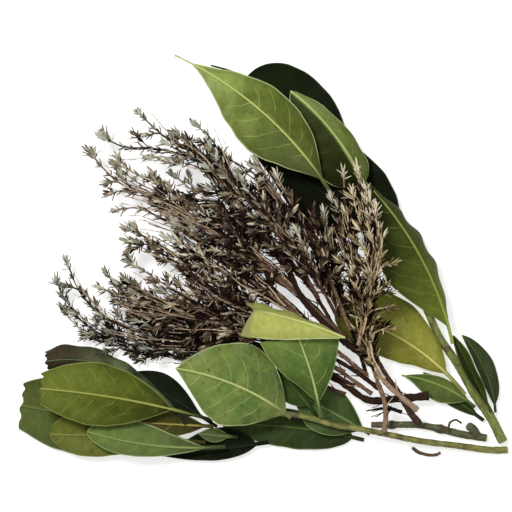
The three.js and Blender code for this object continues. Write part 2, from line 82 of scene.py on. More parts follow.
UPPER_LEAVES = {
    "upper_leaf_large": dict(base=(33.5, 29.9, 11.2), heading=122, bend=33, rise=20, fall=-8,
        length=94.5, width=32, widest=0.46, fullness=1.36, point=0.08, left=(4, 10, 1.13),
        right=(10, 14, 0.83)),
    "upper_leaf_back": dict(base=(47.7, 29.6, 8.2), heading=111, bend=56, rise=-12, fall=6,
        length=92, width=26, widest=0.68, fullness=0.55, point=0.2, left=(2, 4, 0.99),
        right=(2, 2, 1.27)),
    "upper_leaf_folded": dict(base=(50.8, 28.3, 9.8), heading=110, bend=32, rise=28, fall=-20,
        length=58, width=22, widest=0.3, fullness=0.55, left=(-16, -8, 1.6), right=(-42, -14)),
    "upper_leaf_shaded": dict(base=(60.3, 8.1, 8.6), heading=141, bend=10, rise=-8, fall=2,
        length=69.5, width=29, stalk=12, widest=0.3, fullness=1.12, left=(6, 8, 1.25),
        right=(0, 2, 0.85)),
    "upper_leaf_right": dict(base=(90.6, -40.7, 12.5), heading=103, bend=32, rise=10, fall=-4,
        length=83, width=39, widest=0.46, fullness=1.18, left=(-4, 6, 0.98), right=(-34, -52, 0.6)),
    "upper_leaf_olive": dict(base=(96.8, -65.2, 5.6), heading=128, bend=40, rise=8, fall=-4,
        length=61, width=32, stalk=14, widest=0.62, fullness=0.5, left=(-14, -16, 0.85),
        right=(-14, -12, 1.15)),
    "upper_leaf_upright": dict(base=(109.6, -73.4, 6), heading=118, bend=-2, rise=8, length=37,
        width=12.5, stalk=4, widest=0.55, fullness=0.63, left=(58, 6, 1.11), right=(52, 6, 0.83)),
    "upper_leaf_outer": dict(base=(111.6, -74, 3.2), heading=94, bend=38, rise=2, length=37,
        width=13, stalk=4, widest=0.47, fullness=0.7, left=(4, 4, 0.5), right=(-14, -10, 0.89)),
    "upper_leaf_low": dict(base=(102.2, -71.2, 3), heading=140, bend=34, length=35, width=14.5,
        stalk=4, widest=0.43, fullness=1.23, left=(8, 6, 1.13), right=(8, 6, 0.55)),
    "upper_leaf_small": dict(base=(106.3, -77.9, 1.3), heading=144, bend=-5, length=34, width=9,
        stalk=3, widest=0.52, fullness=0.89),
    "upper_leaf_edge": dict(base=(69.5, 7, 6.6), heading=122, bend=7, rise=-10, length=57.5,
        width=18.5, widest=0.44, fullness=0.81, right=(8, 6, 1.06)),
}
LOWER_LEAVES = {
    "lower_leaf_large": dict(base=(-23.5, -77.3, 10), heading=163, bend=13, rise=6, length=65,
        width=32.5, stalk=20, cut=0.87, left=(0, 6, 0.89), right=(-4, -8, 0.94)),
    "lower_leaf_curled": dict(base=(-36.8, -79, 8.5), heading=122, bend=69, rise=4, fall=-2,
        length=70.5, width=20.5, widest=0.68, fullness=0.89, cut=0.86, left=(-14, -50, 0.6),
        right=(-14, -46, 0.85)),
    "lower_leaf_grey": dict(base=(-33.8, -82.9, 2.9), heading=174, bend=-5, rise=-3, length=75.5,
        width=34.5, widest=0.49, fullness=0.96, cut=0.81, slant=-0.02, left=(4, 6, 1.07),
        right=(4, 6, 1.14)),
    "lower_leaf_sage": dict(base=(-17.6, -90.1, 8), heading=184, bend=-21, rise=4, length=58.5,
        width=18, widest=0.68, fullness=0.55, left=(6, 8, 0.74), right=(-4, -6, 1.2)),
    "lower_leaf_spotted": dict(base=(-27, -88.4, 5), heading=174, bend=6, length=66.5, width=24.5,
        widest=0.68, fullness=0.55, left=(8, 6, 0.84), right=(2, 2, 1.11)),
    "lower_leaf_dark": dict(base=(-21.4, -80.6, 5), heading=147, bend=4, rise=-5, fall=2,
        length=41.5, width=21.5, widest=0.58, left=(2, 2), right=(2, 2, 0.8)),
    "lower_leaf_broad": dict(base=(13.5, -75.8, 12), heading=141, bend=31, rise=12, length=57.5,
        width=35, stalk=3, widest=0.48, fullness=0.97, left=(-2, 4, 1.15), right=(-2, -8, 1.16)),
    "lower_leaf_cut": dict(base=(27.7, -75.6, 11.5), heading=98, bend=18, rise=26, fall=10,
        length=41, width=40, widest=0.55, fullness=0.79, cut=0.59, slant=0.26, left=(-2, 0, 0.87),
        right=(-2, 0, 0.99)),
    "lower_leaf_shaded": dict(base=(25.5, -74.4, 8), heading=130, bend=-3, length=23, width=15,
        stalk=6, widest=0.42, fullness=0.76, left=(2, 4), right=(2, 4)),
    "lower_leaf_right": dict(base=(51.7, -84.2, 4), heading=149, bend=5, rise=-2, length=38,
        width=24.5, stalk=4, widest=0.52, fullness=0.86, right=(8, 6, 0.89)),
    "lower_leaf_under": dict(base=(48.9, -87.2, 2), heading=166, bend=16, rise=-1, length=62.5,
        width=18, stalk=6, widest=0.44, fullness=0.6, left=(2, 2, 1.12)),
    "lower_leaf_strip": dict(base=(-11.5, -85.7, 5.1), heading=175, length=15, width=7, stalk=4,
        left=(2, 2), right=(2, 2)),
    "lower_leaf_bottom": dict(base=(3, -88.6, 3.9), heading=188, bend=-2, rise=-2.4, length=45,
        width=14, stalk=6, widest=0.38, left=(3, 3, 0.72), right=(1, 1, 1.5)),
    "lower_leaf_small": dict(base=(-23, -80.4, 6.6), heading=177, length=36, width=12, stalk=4),
    "loose_leaf_folded": dict(base=(-8, -23.6, 27.6), heading=-9, bend=-15, fall=2, length=49,
        width=26, stalk=0, widest=0.4, start=0.35, left=(-56, -20, 0.5), right=(2, 0)),
}
UPPER_STEM_ROUTE = ((115.5, -88.2, 2.6), (109.2, -75.7, 3), (102.3, -66, 4.5), (92.1, -48.7, 7),
    (84.8, -38.1, 8.2), (79, -25.7, 8.6), (71.3, -9.5, 8.8), (64.8, 5.7, 8.8), (58.1, 17.2, 8.8),
    (49.6, 24.8, 8.8), (41.9, 27.2, 9))
LOWER_STEM_ROUTE = ((117.9, -92, 1.8), (109.3, -92, 2), (94.8, -90, 3.5), (75.5, -87.4, 5.5),
    (61.1, -84.5, 7), (46.7, -81.5, 8), (34.8, -79.6, 8.5), (22.9, -76.2, 9), (11, -74.2, 9),
    (-1.9, -74.6, 8.3), (-12, -76.4, 8), (-21.5, -77.4, 7.8))
BARE_STEM_ROUTE = ((107.8, -86.3, 2), (94.9, -84.3, 2.2), (85.3, -81.9, 2.5), (74.7, -80, 2.8),
    (62.2, -79.9, 3), (52.2, -79.9, 2.9))
BARE_STEM_STUB = ((103.5, -85.5, 2.5), (101, -82, 5), (98.6, -80, 6.5))
DRY_CURL_ROUTE = ((88.9, -83.2, 5), (89.7, -78.7, 7), (92.2, -77.2, 8.2), (95.2, -78.8, 8.2))
DRY_STALK_ROUTE = ((71.9, -90.8, 1.8), (74.8, -93, 1.3), (80.6, -94.5, 1.1), (83.9, -94.2, 1.3),
    (85.6, -93.2, 1.6))
THYME = (
    dict(radius=0.9, route=((40, -65, 7), (18.1, -57.3, 6.4), (-10.5, -50.7, 5.2),
        (-39.2, -47.4, 4), (-60.8, -42.4, 2.8), (-77.5, -36.4, 2.6), (-88, -28.7, 4),
        (-95, -18.1, 6)), twigs=((0.62, -1, 12, 0), (0.8, 1, 9, -1),)),
    dict(radius=2, route=((79.6, -65.7, 7.8), (64.3, -67.2, 7.4), (50.5, -67.6, 7.6),
        (34.8, -57.2, 8.2), (13.4, -49.6, 8), (-10.5, -43.9, 7.5), (-34.4, -39.6, 7),
        (-58.2, -35.3, 6.5), (-75.4, -27.7, 7), (-86.8, -16.2, 8), (-92.9, -2.4, 9)),
        twigs=((0.7, -1, 16, 1), (0.86, -1, 11, 2),)),
    dict(radius=0.9, route=((44.2, -60.9, 11.5), (26.6, -51.4, 11), (3.8, -43.8, 10),
        (-20, -36.7, 9.5), (-41.4, -30.5, 9), (-58.1, -22.9, 9.5), (-68.5, -15.2, 10.5),
        (-74.2, -6.7, 11.5)), twigs=((0.6, -1, 15, 1), (0.78, 1, 9, 0),)),
    dict(radius=1, route=((52.2, -64.5, 13.4), (29.9, -49.3, 13.6), (3.8, -38, 13.3),
        (-22.3, -25.6, 13), (-43.7, -14.2, 12.5), (-55.6, -6.6, 13), (-63.6, -1.9, 14)),
        twigs=((0.55, 1, 15, 0), (0.74, -1, 10, 1),)),
    dict(radius=0.9, route=((39.3, -54, 16.5), (13.3, -41.2, 16), (-17.6, -31.8, 14.5),
        (-43.7, -25.7, 13), (-62.8, -20, 12.5), (-77.1, -14.3, 12)), twigs=((0.7, 1, 10, 1),)),
    dict(radius=1.1, route=((55.5, -62, 12.2), (41.7, -52.1, 15.5), (18, -38.8, 17.5),
        (-10.4, -21.8, 17), (-34.1, -3.8, 15.5), (-50.7, 7.6, 14.5), (-64.5, 14.2, 14)),
        twigs=((0.6, 1, 14, 0), (0.8, 1, 10, 0),)),
    dict(radius=1, route=((50, -55.5, 17.4), (41.6, -49.1, 18.4), (17.9, -28.3, 19.3),
        (-5.7, -10.4, 19), (-26.9, 5.7, 18), (-45.9, 18, 16.6), (-60.1, 23.7, 15.2),
        (-69.2, 22.8, 14.4)), twigs=((0.55, 1, 14, 0), (0.75, -1, 12, 1),)),
    dict(radius=1.4, route=((51, -49.5, 15.8), (42.5, -40.6, 17.9), (17.9, -17.9, 20.5),
        (-5.7, 1.9, 20.2), (-29.3, 17, 19), (-50.6, 28.4, 17.5), (-67.3, 35.5, 16),
        (-75.4, 42.7, 15), (-82.1, 50.8, 14)), twigs=((0.7, -1, 16, 1), (0.84, 1, 10, 0),)),
    dict(radius=1.5, route=((47, -45.6, 20.3), (34.4, -35.8, 21.4), (19.3, -19.8, 25),
        (12.7, -6.1, 26), (1.4, 8.5, 24.5), (-12.7, 25, 22), (-26.9, 44, 19), (-38.8, 49.2, 17.5),
        (-53, 52.1, 16), (-64.9, 52.6, 15), (-75.9, 57.4, 14)), twigs=((0.5, 1, 15, 0),
        (0.86, -1, 9, 1),)),
    dict(radius=0.8, route=((10.8, -1.9, 29), (0, 13.2, 27.5), (-12.7, 28.2, 25), (-26.9, 45.3, 22),
        (-38.7, 52.9, 20), (-48.2, 59.1, 19), (-53, 63.4, 18), (-58.3, 68.7, 17)),
        twigs=((0.4, 1, 12, 0),)),
    dict(radius=0.9, route=((26.3, -18.8, 29), (13.1, 3.8, 30), (0, 21.1, 28), (-11.3, 34.4, 25.5),
        (-18.9, 46.2, 22), (-23.6, 55.7, 20), (-31.7, 63.4, 18)), twigs=((0.22, 1, 14, 5),
        (0.5, -1, 12, 3), (0.85, 1, 8, 0),)),
    dict(radius=1, route=((41.4, -33.8, 27), (31.9, -10.3, 27), (20.2, 13.2, 25), (9.9, 24, 23),
        (-1.9, 38.3, 20), (-10.4, 44, 18), (-17.1, 47.4, 16)), twigs=((0.4, -1, 13, -2),
        (0.62, 1, 12, 0),)),
    dict(radius=1, route=((39.3, -41.2, 16), (22.7, -14.2, 17.5), (3.8, 6.6, 17), (-9, 12.3, 16.5),
        (-21.3, 26.1, 15.5), (-34.2, 27.5, 15), (-48.4, 36.3, 14)), twigs=((0.5, -1, 14, -1),)),
    dict(radius=0.9, route=((36.5, -30, 29.4), (22.9, -5.6, 31.5), (10.3, 12.2, 29.5),
        (0, 25.4, 26.5), (-7.1, 33.9, 23.5)), twigs=((0.2, -1, 13, 5), (0.45, 1, 12, 4),
        (0.62, -1, 11, 1),)),
    dict(radius=1.6, route=((74.9, -79.1, 8), (70.4, -73.3, 10.5), (64.5, -63.5, 14.5),
        (57.7, -53.9, 17), (52, -42.5, 18.5), (47.2, -24.5, 20), (41.5, -3.3, 21), (35.8, 15.6, 21),
        (32.6, 28.3, 20.5)), twigs=((0.72, 1, 11, 0),)),
    dict(radius=1.3, route=((58, -82.8, 11), (58.9, -76.1, 11.5), (57.9, -67.4, 13.5),
        (54.4, -57.7, 17), (50.5, -43.4, 21), (46.6, -19.8, 24), (42.8, 3.8, 25.5),
        (39.5, 24.9, 25), (38.1, 40.5, 24)), twigs=((0.6, 1, 12, 0), (0.85, -1, 8, 0),)),
    dict(radius=1.4, route=((73.5, -72.1, 14.5), (64.3, -64.3, 18.5), (55.6, -55.6, 21.5),
        (49.8, -40.9, 25), (51.6, -19.7, 28), (50.6, 3.7, 29), (46.9, 24.8, 28), (44.6, 42.3, 26)),
        twigs=((0.5, -1, 13, 5), (0.66, 1, 12, 4), (0.84, 1, 10, 1),)),
    dict(radius=0.9, route=((49.3, -54.1, 13.4), (42.6, -35, 15.6), (36.9, -15.1, 17.6),
        (32.1, 3.8, 18.2), (29.3, 20.8, 18)), twigs=((0.7, 1, 10, 0),)),
    dict(radius=0.9, route=((45, -40.8, 29), (49.5, -19.6, 31.5), (53.3, 3.7, 32), (52.4, 16.8, 31),
        (50.1, 29, 30)), twigs=((0.25, 1, 12, 5), (0.48, -1, 11, 4), (0.66, 1, 10, 3),)),
    dict(radius=0.8, route=((36.5, -28, 22.3), (32, -15.1, 22.8), (26.4, -1.9, 22.5),
        (22.2, 9.4, 21.5)), twigs=((0.6, 1, 9, 0),)),
    dict(radius=1, route=((66.7, -73.4, 8.5), (58.6, -71.4, 9.2), (49.6, -72.9, 8.5)), twigs=()),
)

# ---- What only the fine pieces have: millimetres, and shares where a comment says so ----

# A real blade is thinner than a sound solid.
BLADE_THICKNESS = 0.42

# How uneven a blade's outline is, as a share of its half width. How far a broken end is torn in on
# average, and how deep the loose leaf is notched, as shares of a leaf's length with its stalk.
RAGGED_SHARE = 0.045
TORN_DEPTH = 0.025
NOTCH_DEPTH = 0.09

# The midrib is a narrow ridge in a wide groove: the height and half width of each.
RIB_RELIEF = ((-0.3, 1.5), (0.3, 0.55))

# How far a side vein runs towards the tip for each millimetre away from the midrib, how much more that
# becomes for each further millimetre, and how wide the pucker along it is.
VEIN_LEAN, VEIN_ARCH, PUCKER_WIDTH = 0.62, 0.02, 1.1

# How much thicker a bay stem is at a node, as a share of its radius.
NODE_SWELLING = 0.38

# The faces round a strand and the distance between its rings.
STEM_SIDES, STEM_STEP = 16, 0.8
DRY_SIDES, DRY_STEP = 10, 0.5
THYME_SIDES, THYME_STEP = 6, 1.0

# A leafy side twig of thyme has a ring for about each TWIG_STEP, and these radii at its ends.
TWIG_STEP, TWIG_RADII = 1.6, (0.28, 0.2)
TWIG_CHANCE = 0.34
THYME_LEAF_THICKNESS = 0.62

# How a tuft's leaves turn round their twig, in radians: the first any way, each next one by LEAF_TURN.
FULL_TURN, LEAF_TURN = 6.28, 2.4

# The lowest that a strand's middle, a thyme leaf's tip, its surface and any piece at all may lie.
STRAND_LOW, TIP_LOW, LEAF_LOW, PIECE_LOW = 0.5, 0.6, 0.15, -0.4

# How far a fine piece may reach past its solid's box: the leaves of a thyme sprig stand well off it.
LEAF_STRAY, STEM_STRAY, THYME_STRAY = 4, 3, 14

UP = np.array((0, 0, 1.0))

# ---- Finishes ----

# Each leaf's slot and its colours (blade, patches, towards the tip, veins, rim), then how spotted it is
# (0 to 1), how rough it is, and how light its base and its left half are, where 1 is no change; below 1
# this is painted shade, above 1 painted light.
# The near-black colours of the back, shaded, edge, dark and bottom leaves, which lie under others, hold
# painted shade.
LEAF_LOOKS = {
    "upper_leaf_large": ("bay_leaf", "57651c 667429 94a552 bfcc74 bccb8e", 0.0, 0.45, 0.5, 1),
    "upper_leaf_back": ("bay_leaf_dark", "0c1201 131c04 121b03 1a260a 3c4d22", 0, 0.6, 0.7, 1),
    "upper_leaf_folded": ("bay_leaf", "5f6d2b 6a7836 7c8a4c aebc74 b4c48a", 0.1, 0.57, 0.7, 0.2),
    "upper_leaf_shaded": ("bay_leaf_dark", "080c01 0d1303 0d1404 161e0a 232f14", 0, 0.65, 0.7, 1),
    "upper_leaf_right": ("bay_leaf", "454f18 3d4714 2b310c 8f9a4e 7e8e50", 0.1, 0.56, 2.7, 0.9),
    "upper_leaf_olive": ("bay_leaf_olive", "8f8f32 96963b 676d1f d2cc74 a0a352", 0.25, 0.45, 0.95, 0.9),
    "upper_leaf_upright": ("bay_leaf_olive", "3e4a1c 4a5524 465121 5c6b32 66743a", 0.1, 0.5, 0.8, 0.6),
    "upper_leaf_outer": ("bay_leaf_dark", "313f1c 3b4a23 36451f 4a5a30 566538", 0, 0.5, 0.8, 0.7),
    "upper_leaf_low": ("bay_leaf", "5a6b2d 677836 516628 8e9e54 98a966", 0.1, 0.53, 0.7, 0.85),
    "upper_leaf_small": ("bay_leaf_dark", "293815 314219 2b3a17 425426 485a2c", 0, 0.55, 0.7, 1),
    "upper_leaf_edge": ("bay_leaf_dark", "0c1203 141c06 131b06 202b10 36451f", 0, 0.6, 0.7, 1),
    "lower_leaf_large": ("bay_leaf", "46500f 556017 68722a a5a858 8b9350", 0.3, 0.57, 0.14, 0.85),
    # The curled leaf's grey-green patch colour is painted sheen, from the lit top of its curl.
    "lower_leaf_curled": ("bay_leaf_dark", "26321a 6c7a54 3a2c20 5c6a48 66704e", 0.6, 0.55, 0.35, 1),
    "lower_leaf_grey": ("bay_leaf_pale", "475325 3e4a1f 57622f 6c7a48 7c8a5c", 0.15, 0.57, 0.6, 1),
    "lower_leaf_sage": ("bay_leaf_pale", "5a6c30 66783e 647838 8a9a5c a3b37e", 0.1, 0.55, 0.4, 1),
    "lower_leaf_spotted": ("bay_leaf_olive", "5f6826 6d6a28 656c28 8a8a46 868a46", 0.9, 0.55, 0.35, 1),
    "lower_leaf_dark": ("bay_leaf_dark", "10160a 1a2210 161c0c 222e18 344226", 0, 0.6, 0.7, 1),
    "lower_leaf_broad": ("bay_leaf", "526e2c 74863e 76863e bec87c b6c488", 0.8, 0.5, 0.7, 1.1),
    "lower_leaf_cut": ("bay_leaf", "4c6428 58702f 70883e b8c87c 90ac60", 0.3, 0.53, 0.6, 1),
    "lower_leaf_shaded": ("bay_leaf_dark", "2e4214 384c1c 304416 4c6230 52683a", 0.1, 0.55, 0.7, 1),
    "lower_leaf_right": ("bay_leaf_dark", "3b5021 475c2a 50682e 748a4c 7c9050", 0.1, 0.5, 0.6, 1),
    "lower_leaf_under": ("bay_leaf_dark", "2c3a14 35451c 3a4a20 566a34 5e7040", 0, 0.55, 0.6, 1),
    "lower_leaf_strip": ("bay_leaf_pale", "4c5830 59663c 545f36 6c7a4a 7c8a58", 0, 0.57, 0.35, 1),
    "lower_leaf_bottom": ("bay_leaf_dark", "0c1204 141b06 111805 1e2a12 2e3c20", 0, 0.6, 0.7, 1),
    "lower_leaf_small": ("bay_leaf_olive", "3f3c18 48431c 444218 a59850 6e6a34", 0.5, 0.57, 0.4, 1),
    "loose_leaf_folded": ("bay_leaf_pale", "a9b058 b3b962 adb35c cfd288 ced49a", 0.05, 0.55, 1, 0.85),
}

# What each bay stem looks like: bark, second bark colour, and how brown its patches are.
STEM_LOOKS = {
    "upper_stem": ("bay_stem", "8a974a", "63702f", 0.35),
    "lower_stem": ("bay_stem", "8f9048", "68682f", 0.5),
    "bare_stem": ("bay_stem", "5a5f38", "484a2e", 0.5),
    "dry_curl": ("dry_stalk", "5c5230", "3e3a24", 0.5),
    "dry_stalk": ("dry_stalk", "5c4028", "3c2a1c", 0.7),
}

# The colours that all bay bark shares.
PATCH_BROWN, NODE_BROWN, PORE_TAN, CUT_WOOD = "5a452c", "3c2c1a", "a89f70", "b9ad7c"

# The colours of dried thyme from dark to light: the two ends, then the places between.
THYME_TONES = {
    "tan": ((0, "150a06"), (1, "e2d6bc"), (0.25, "38261b"), (0.5, "77634d"), (0.75, "b3a386")),
    "straw": ((0, "120c06"), (1, "d6c48c"), (0.3, "4c3c1c"), (0.6, "8e7a44")),
    "green": ((0, "10110c"), (1, "bcbfae"), (0.3, "3c3f34"), (0.6, "777b6c")),
    "wood": ((0, "160a07"), (1, "ceb698"), (0.3, "3a261c"), (0.6, "735846"), (0.8, "a0886e")),
}

# How much darker or lighter than its sprig a thyme leaf can be; most are dark.
LEAF_TONES = (-0.5, -0.42, -0.35, -0.18, 0.1, 0.4)

# The whorls of the brush at a twig's end: how far back from the tip, leaves, and how far they lean.
TIP_WHORLS = ((3.0, 4, 46), (1.5, 5, 40), (0.2, 6, 24))

# The thin strands beside a stem that have no leaves, light ones on top and dark ones low down, whose
# near-black tone is painted shade: how many for each branch, where they begin, how far they run and
# where they end at the latest, all as shares of the stem, then how far they spread and rise, their
# radius and tone, and the seed of their bends.
BARE_STRANDS = (
    dict(each=2, first=(0.4, 0.75), run=(0.15, 0.3), latest=0.97, spread=1.3, rise=(1.5, 3.5),
        radius=(0.2, 0.32), tone=(0.75, 1.0), seed=17),
    dict(each=4, first=(0.15, 0.55), run=(0.25, 0.45), latest=0.93, spread=0.7, rise=(-3.0, 0.5),
        radius=(0.3, 0.6), tone=(0.0, 0.16), seed=23),
)

# Painted shade: a leaf or strand darkens when more than COVER_FREE leaves lie over it, in its own
# cell and the eight around it, each COVER_CELL across, and by a factor of e for each COVER_FADE
# leaves more.
COVER_CELL, COVER_FREE, COVER_FADE = 1.8, 2, 3.5

# Each sprig's own look, in the order of THYME: place along it where leaves begin, how light its wood
# is, the middle of its leaf tone, its branches, how far they spread in mm, and its hue from -1 (straw)
# to 1 (grey-green).
SPRIG_LOOKS = (
    (0.56, 0.40, 0.60, 3, 4.5, 0.6), (0.54, 0.20, 0.46, 7, 7.5, 0.4), (0.48, 0.30, 0.38, 7, 6.5, 0.1),
    (0.46, 0.55, 0.44, 6, 7.0, 0.0), (0.42, 0.50, 0.50, 6, 7.0, 0.0), (0.40, 0.25, 0.48, 6, 7.5, 0.0),
    (0.38, 0.55, 0.54, 6, 7.0, 0.0), (0.38, 0.50, 0.56, 6, 7.0, 0.1), (0.48, 0.15, 0.56, 4, 5.5, 0.2),
    (0.56, 0.35, 0.58, 2, 3.0, 0.5), (0.30, 0.40, 0.58, 3, 4.0, 0.3), (0.38, 0.60, 0.54, 5, 5.5, 0.0),
    (0.40, 0.25, 0.50, 5, 6.0, 0.0), (0.26, 0.35, 0.58, 4, 4.5, 0.1), (0.46, 0.35, 0.62, 3, 2.5, -0.2),
    (0.26, 0.70, 0.72, 3, 2.0, -0.5), (0.24, 0.80, 0.74, 4, 2.4, -0.6), (0.50, 0.40, 0.60, 3, 2.5, -0.2),
    (0.00, 0.80, 0.76, 3, 2.2, -0.5), (0.14, 0.30, 0.54, 3, 4.0, 0.0), (1.00, 0.10, 0.20, 0, 1.0, 0.0),
)

# The worktop's own light, which keeps it near white under the bunch.
WORKTOP_GLOW = 0.6

# Where the camera and the lamps aim, and each lamp's place and size, in metres, and its share of the
# key light's power.
VIEW_MIDDLE = Vector((-2.7, 1.45, 10)) * MM
LAMPS = {"key": ((-0.45, 0.5, 1.15), 0.4, 1.0), "fill": ((0.8, -0.3, 1.2), 1.0, 0.35)}


def shade(code):
    """Turns an sRGB hex code into linear red, green and blue."""
    channels = (int(code[place:place + 2], 16) / 255 for place in (0, 2, 4))
    return tuple(c / 12.92 if c <= 0.04045 else ((c + 0.055) / 1.055) ** 2.4 for c in channels)


ThymeLeaf = namedtuple("ThymeLeaf", "base along face length tone hue curl broad")
Strand = namedtuple("Strand", "points radii tone hue")


class BayLeafSettings(bpy.types.PropertyGroup):
    """What a user may change on the bay leaves."""
    face_size: bpy.props.FloatProperty(name="Face size", description="Side of one face of a blade",
        default=1.0 * MM, min=0.5 * MM, max=4 * MM, unit="LENGTH")
    vein_spacing: bpy.props.FloatProperty(name="Vein spacing",
        description="Distance between side veins along the midrib", default=9 * MM, unit="LENGTH")
    pucker: bpy.props.FloatProperty(name="Pucker", description="Depth of the blade at its side veins",
        default=0.22 * MM, unit="LENGTH")
    ripple: bpy.props.FloatProperty(name="Ripple", description="Height of the waves along the margin",
        default=0.65 * MM, unit="LENGTH")
    spot_colour: bpy.props.FloatVectorProperty(name="Spots", description="Colour of the dried spots",
        subtype="COLOR", size=3, default=shade("4a4826"), min=0, max=1)


class ThymeSettings(bpy.types.PropertyGroup):
    """What a user may change on the dried thyme."""
    leaf_length: bpy.props.FloatProperty(name="Leaf length", description="Length of a full leaf",
        default=5.4 * MM, unit="LENGTH")
    leaf_width: bpy.props.FloatProperty(name="Leaf width", description="Width of a full leaf",
        default=0.9 * MM, unit="LENGTH")
    twig_length: bpy.props.FloatProperty(name="Twig length",
        description="Length of a leafy side twig", default=8 * MM, unit="LENGTH")
    tuft_spacing: bpy.props.FloatProperty(name="Tuft spacing",
        description="Distance between leaf tufts along a stem", default=3.4 * MM, unit="LENGTH")
    seed: bpy.props.IntProperty(name="Seed", description="Changes how the shoots fall", default=7)


class StageSettings(bpy.types.PropertyGroup):
    """The worktop, the light and the camera."""
    floor_colour: bpy.props.FloatVectorProperty(name="Worktop", description="Colour of the worktop",
        subtype="COLOR", size=3, default=shade("d9d9d7"), min=0, max=1)
    camera_height: bpy.props.FloatProperty(name="Camera height",
        description="Height of the camera above the worktop", default=1.2, unit="LENGTH")
    view_width: bpy.props.FloatProperty(name="View width",
        description="Width of the worktop that the camera sees", default=245.8 * MM, unit="LENGTH")
    key_power: bpy.props.FloatProperty(name="Key light", description="Power of the main light",
        default=13.5, unit="POWER")


# ---- Shared making ----

def start_clean():
    """Leaves edit mode and selects nothing, so that an operator acts only on what comes next."""
    if bpy.context.object and bpy.context.object.mode != "OBJECT":
        bpy.ops.object.mode_set(mode="OBJECT")
    bpy.ops.object.select_all(action="DESELECT")


def take(piece):
    """Makes the piece the only selected and the active object."""
    start_clean()
    piece.select_set(True)
    bpy.context.view_layer.objects.active = piece
    return piece


def name_piece(piece, name):
    piece.name = name
    piece.data.name = name
    return piece


def points_of(piece):
    flat = np.empty(len(piece.data.vertices) * 3)
    piece.data.vertices.foreach_get("co", flat)
    return flat.reshape(-1, 3)


def place_points(piece, points):
    piece.data.vertices.foreach_set("co", np.ascontiguousarray(points, float).ravel())
    piece.data.update()


def to_bunch(points):
    """Places in the bunch, in millimetres, as places in the scene, in metres."""
    return (points + BUNCH_SHIFT) * MM


def write_value(piece, name, values):
    """Keeps one number for each vertex, which the piece's material reads."""
    attribute = piece.data.attributes.new(name, "FLOAT", "POINT")
    attribute.data.foreach_set("value", np.ascontiguousarray(values, np.float32))


def write_vector(piece, name, vectors):
    attribute = piece.data.attributes.new(name, "FLOAT_VECTOR", "POINT")
    attribute.data.foreach_set("vector", np.ascontiguousarray(vectors, np.float32).ravel())


def lerp(a, b, share):
    return a + (b - a) * share


def ease(value, low, high):
    """0 up to low, 1 from high on, and smooth in between."""
    share = np.clip((value - low) / (high - low), 0, 1)
    return share * share * (3 - 2 * share)


def wander(points, size, seed):
    """Smooth noise about -1 to 1 at each point, with swells about size across."""
    offset = Vector((seed * 3.17, seed * 1.31, seed * 7.7))
    return np.array([noise.noise(Vector(p) / size + offset) for p in points])


def wander_aside(points, size, seed, stride):
    """Smooth noise along each of the three axes, each with its own seed."""
    return np.stack([wander(points, size, seed + axis * stride) for axis in range(3)], -1)


def finish_piece(piece, node, material, allowance):
    """Gives a piece its finish and its place in the frame, and refuses one that strays from its node."""
    piece.data.materials.clear()
    piece.data.materials.append(material)
    low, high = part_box(node)
    points = points_of(piece)
    stray = max((np.array(low) - points.min(0)).max(), (points.max(0) - np.array(high)).max())
    if stray > allowance * MM or points[:, 2].min() < PIECE_LOW * MM:
        raise RuntimeError(f"{piece.name} strays {stray / MM:.1f} mm from {node}")
    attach(piece, "root")
    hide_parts(node)


# Short names for the nodes and the node settings that the finishes share. A colour mix takes its share
# and its two colours at inputs 0, 6 and 7, and gives them mixed at output 2.
ATTRIBUTE, MATH, SPAN = "ShaderNodeAttribute", "ShaderNodeMath", "ShaderNodeMapRange"
MIX, NOISE, BUMP = "ShaderNodeMix", "ShaderNodeTexNoise", "ShaderNodeBump"
CELLS, VECTOR_MATH = "ShaderNodeTexVoronoi", "ShaderNodeVectorMath"
PRINCIPLED, OUTPUT = "ShaderNodeBsdfPrincipled", "ShaderNodeOutputMaterial"
SMOOTH, COLOURS = {"interpolation_type": "SMOOTHSTEP"}, {"data_type": "RGBA"}
TIMES, TIMES_PLUS = {"operation": "MULTIPLY"}, {"operation": "MULTIPLY_ADD"}
LARGER, POSITIVE = {"operation": "MAXIMUM"}, {"operation": "ABSOLUTE"}
SCALED = {"operation": "SCALE"}


def add(tree, kind, settings=None, inputs=None, out=0):
    """Adds a node with its settings and inputs, each a value or a link, and returns one output."""
    made = tree.nodes.new(kind)
    for key, value in (settings or {}).items():
        setattr(made, key, value)
    for key, value in (inputs or {}).items():
        if isinstance(value, bpy.types.NodeSocket):
            tree.links.new(value, made.inputs[key])
        elif isinstance(value, tuple) and made.inputs[key].type == "RGBA":
            made.inputs[key].default_value = (*value, 1)
        else:
            made.inputs[key].default_value = value
    return made.outputs[out] if made.outputs else None


def new_material(name):
    """A material with no nodes yet, and its node tree."""
    material = bpy.data.materials.new(name)
    material.use_nodes = True
    material.node_tree.nodes.clear()
    return material, material.node_tree


def own_number(name, span):
    """A number from 0 up to span, the same each time for a name, that sets a piece apart from others."""
    return sum(map(ord, name)) % span


# ---- Bay leaves ----

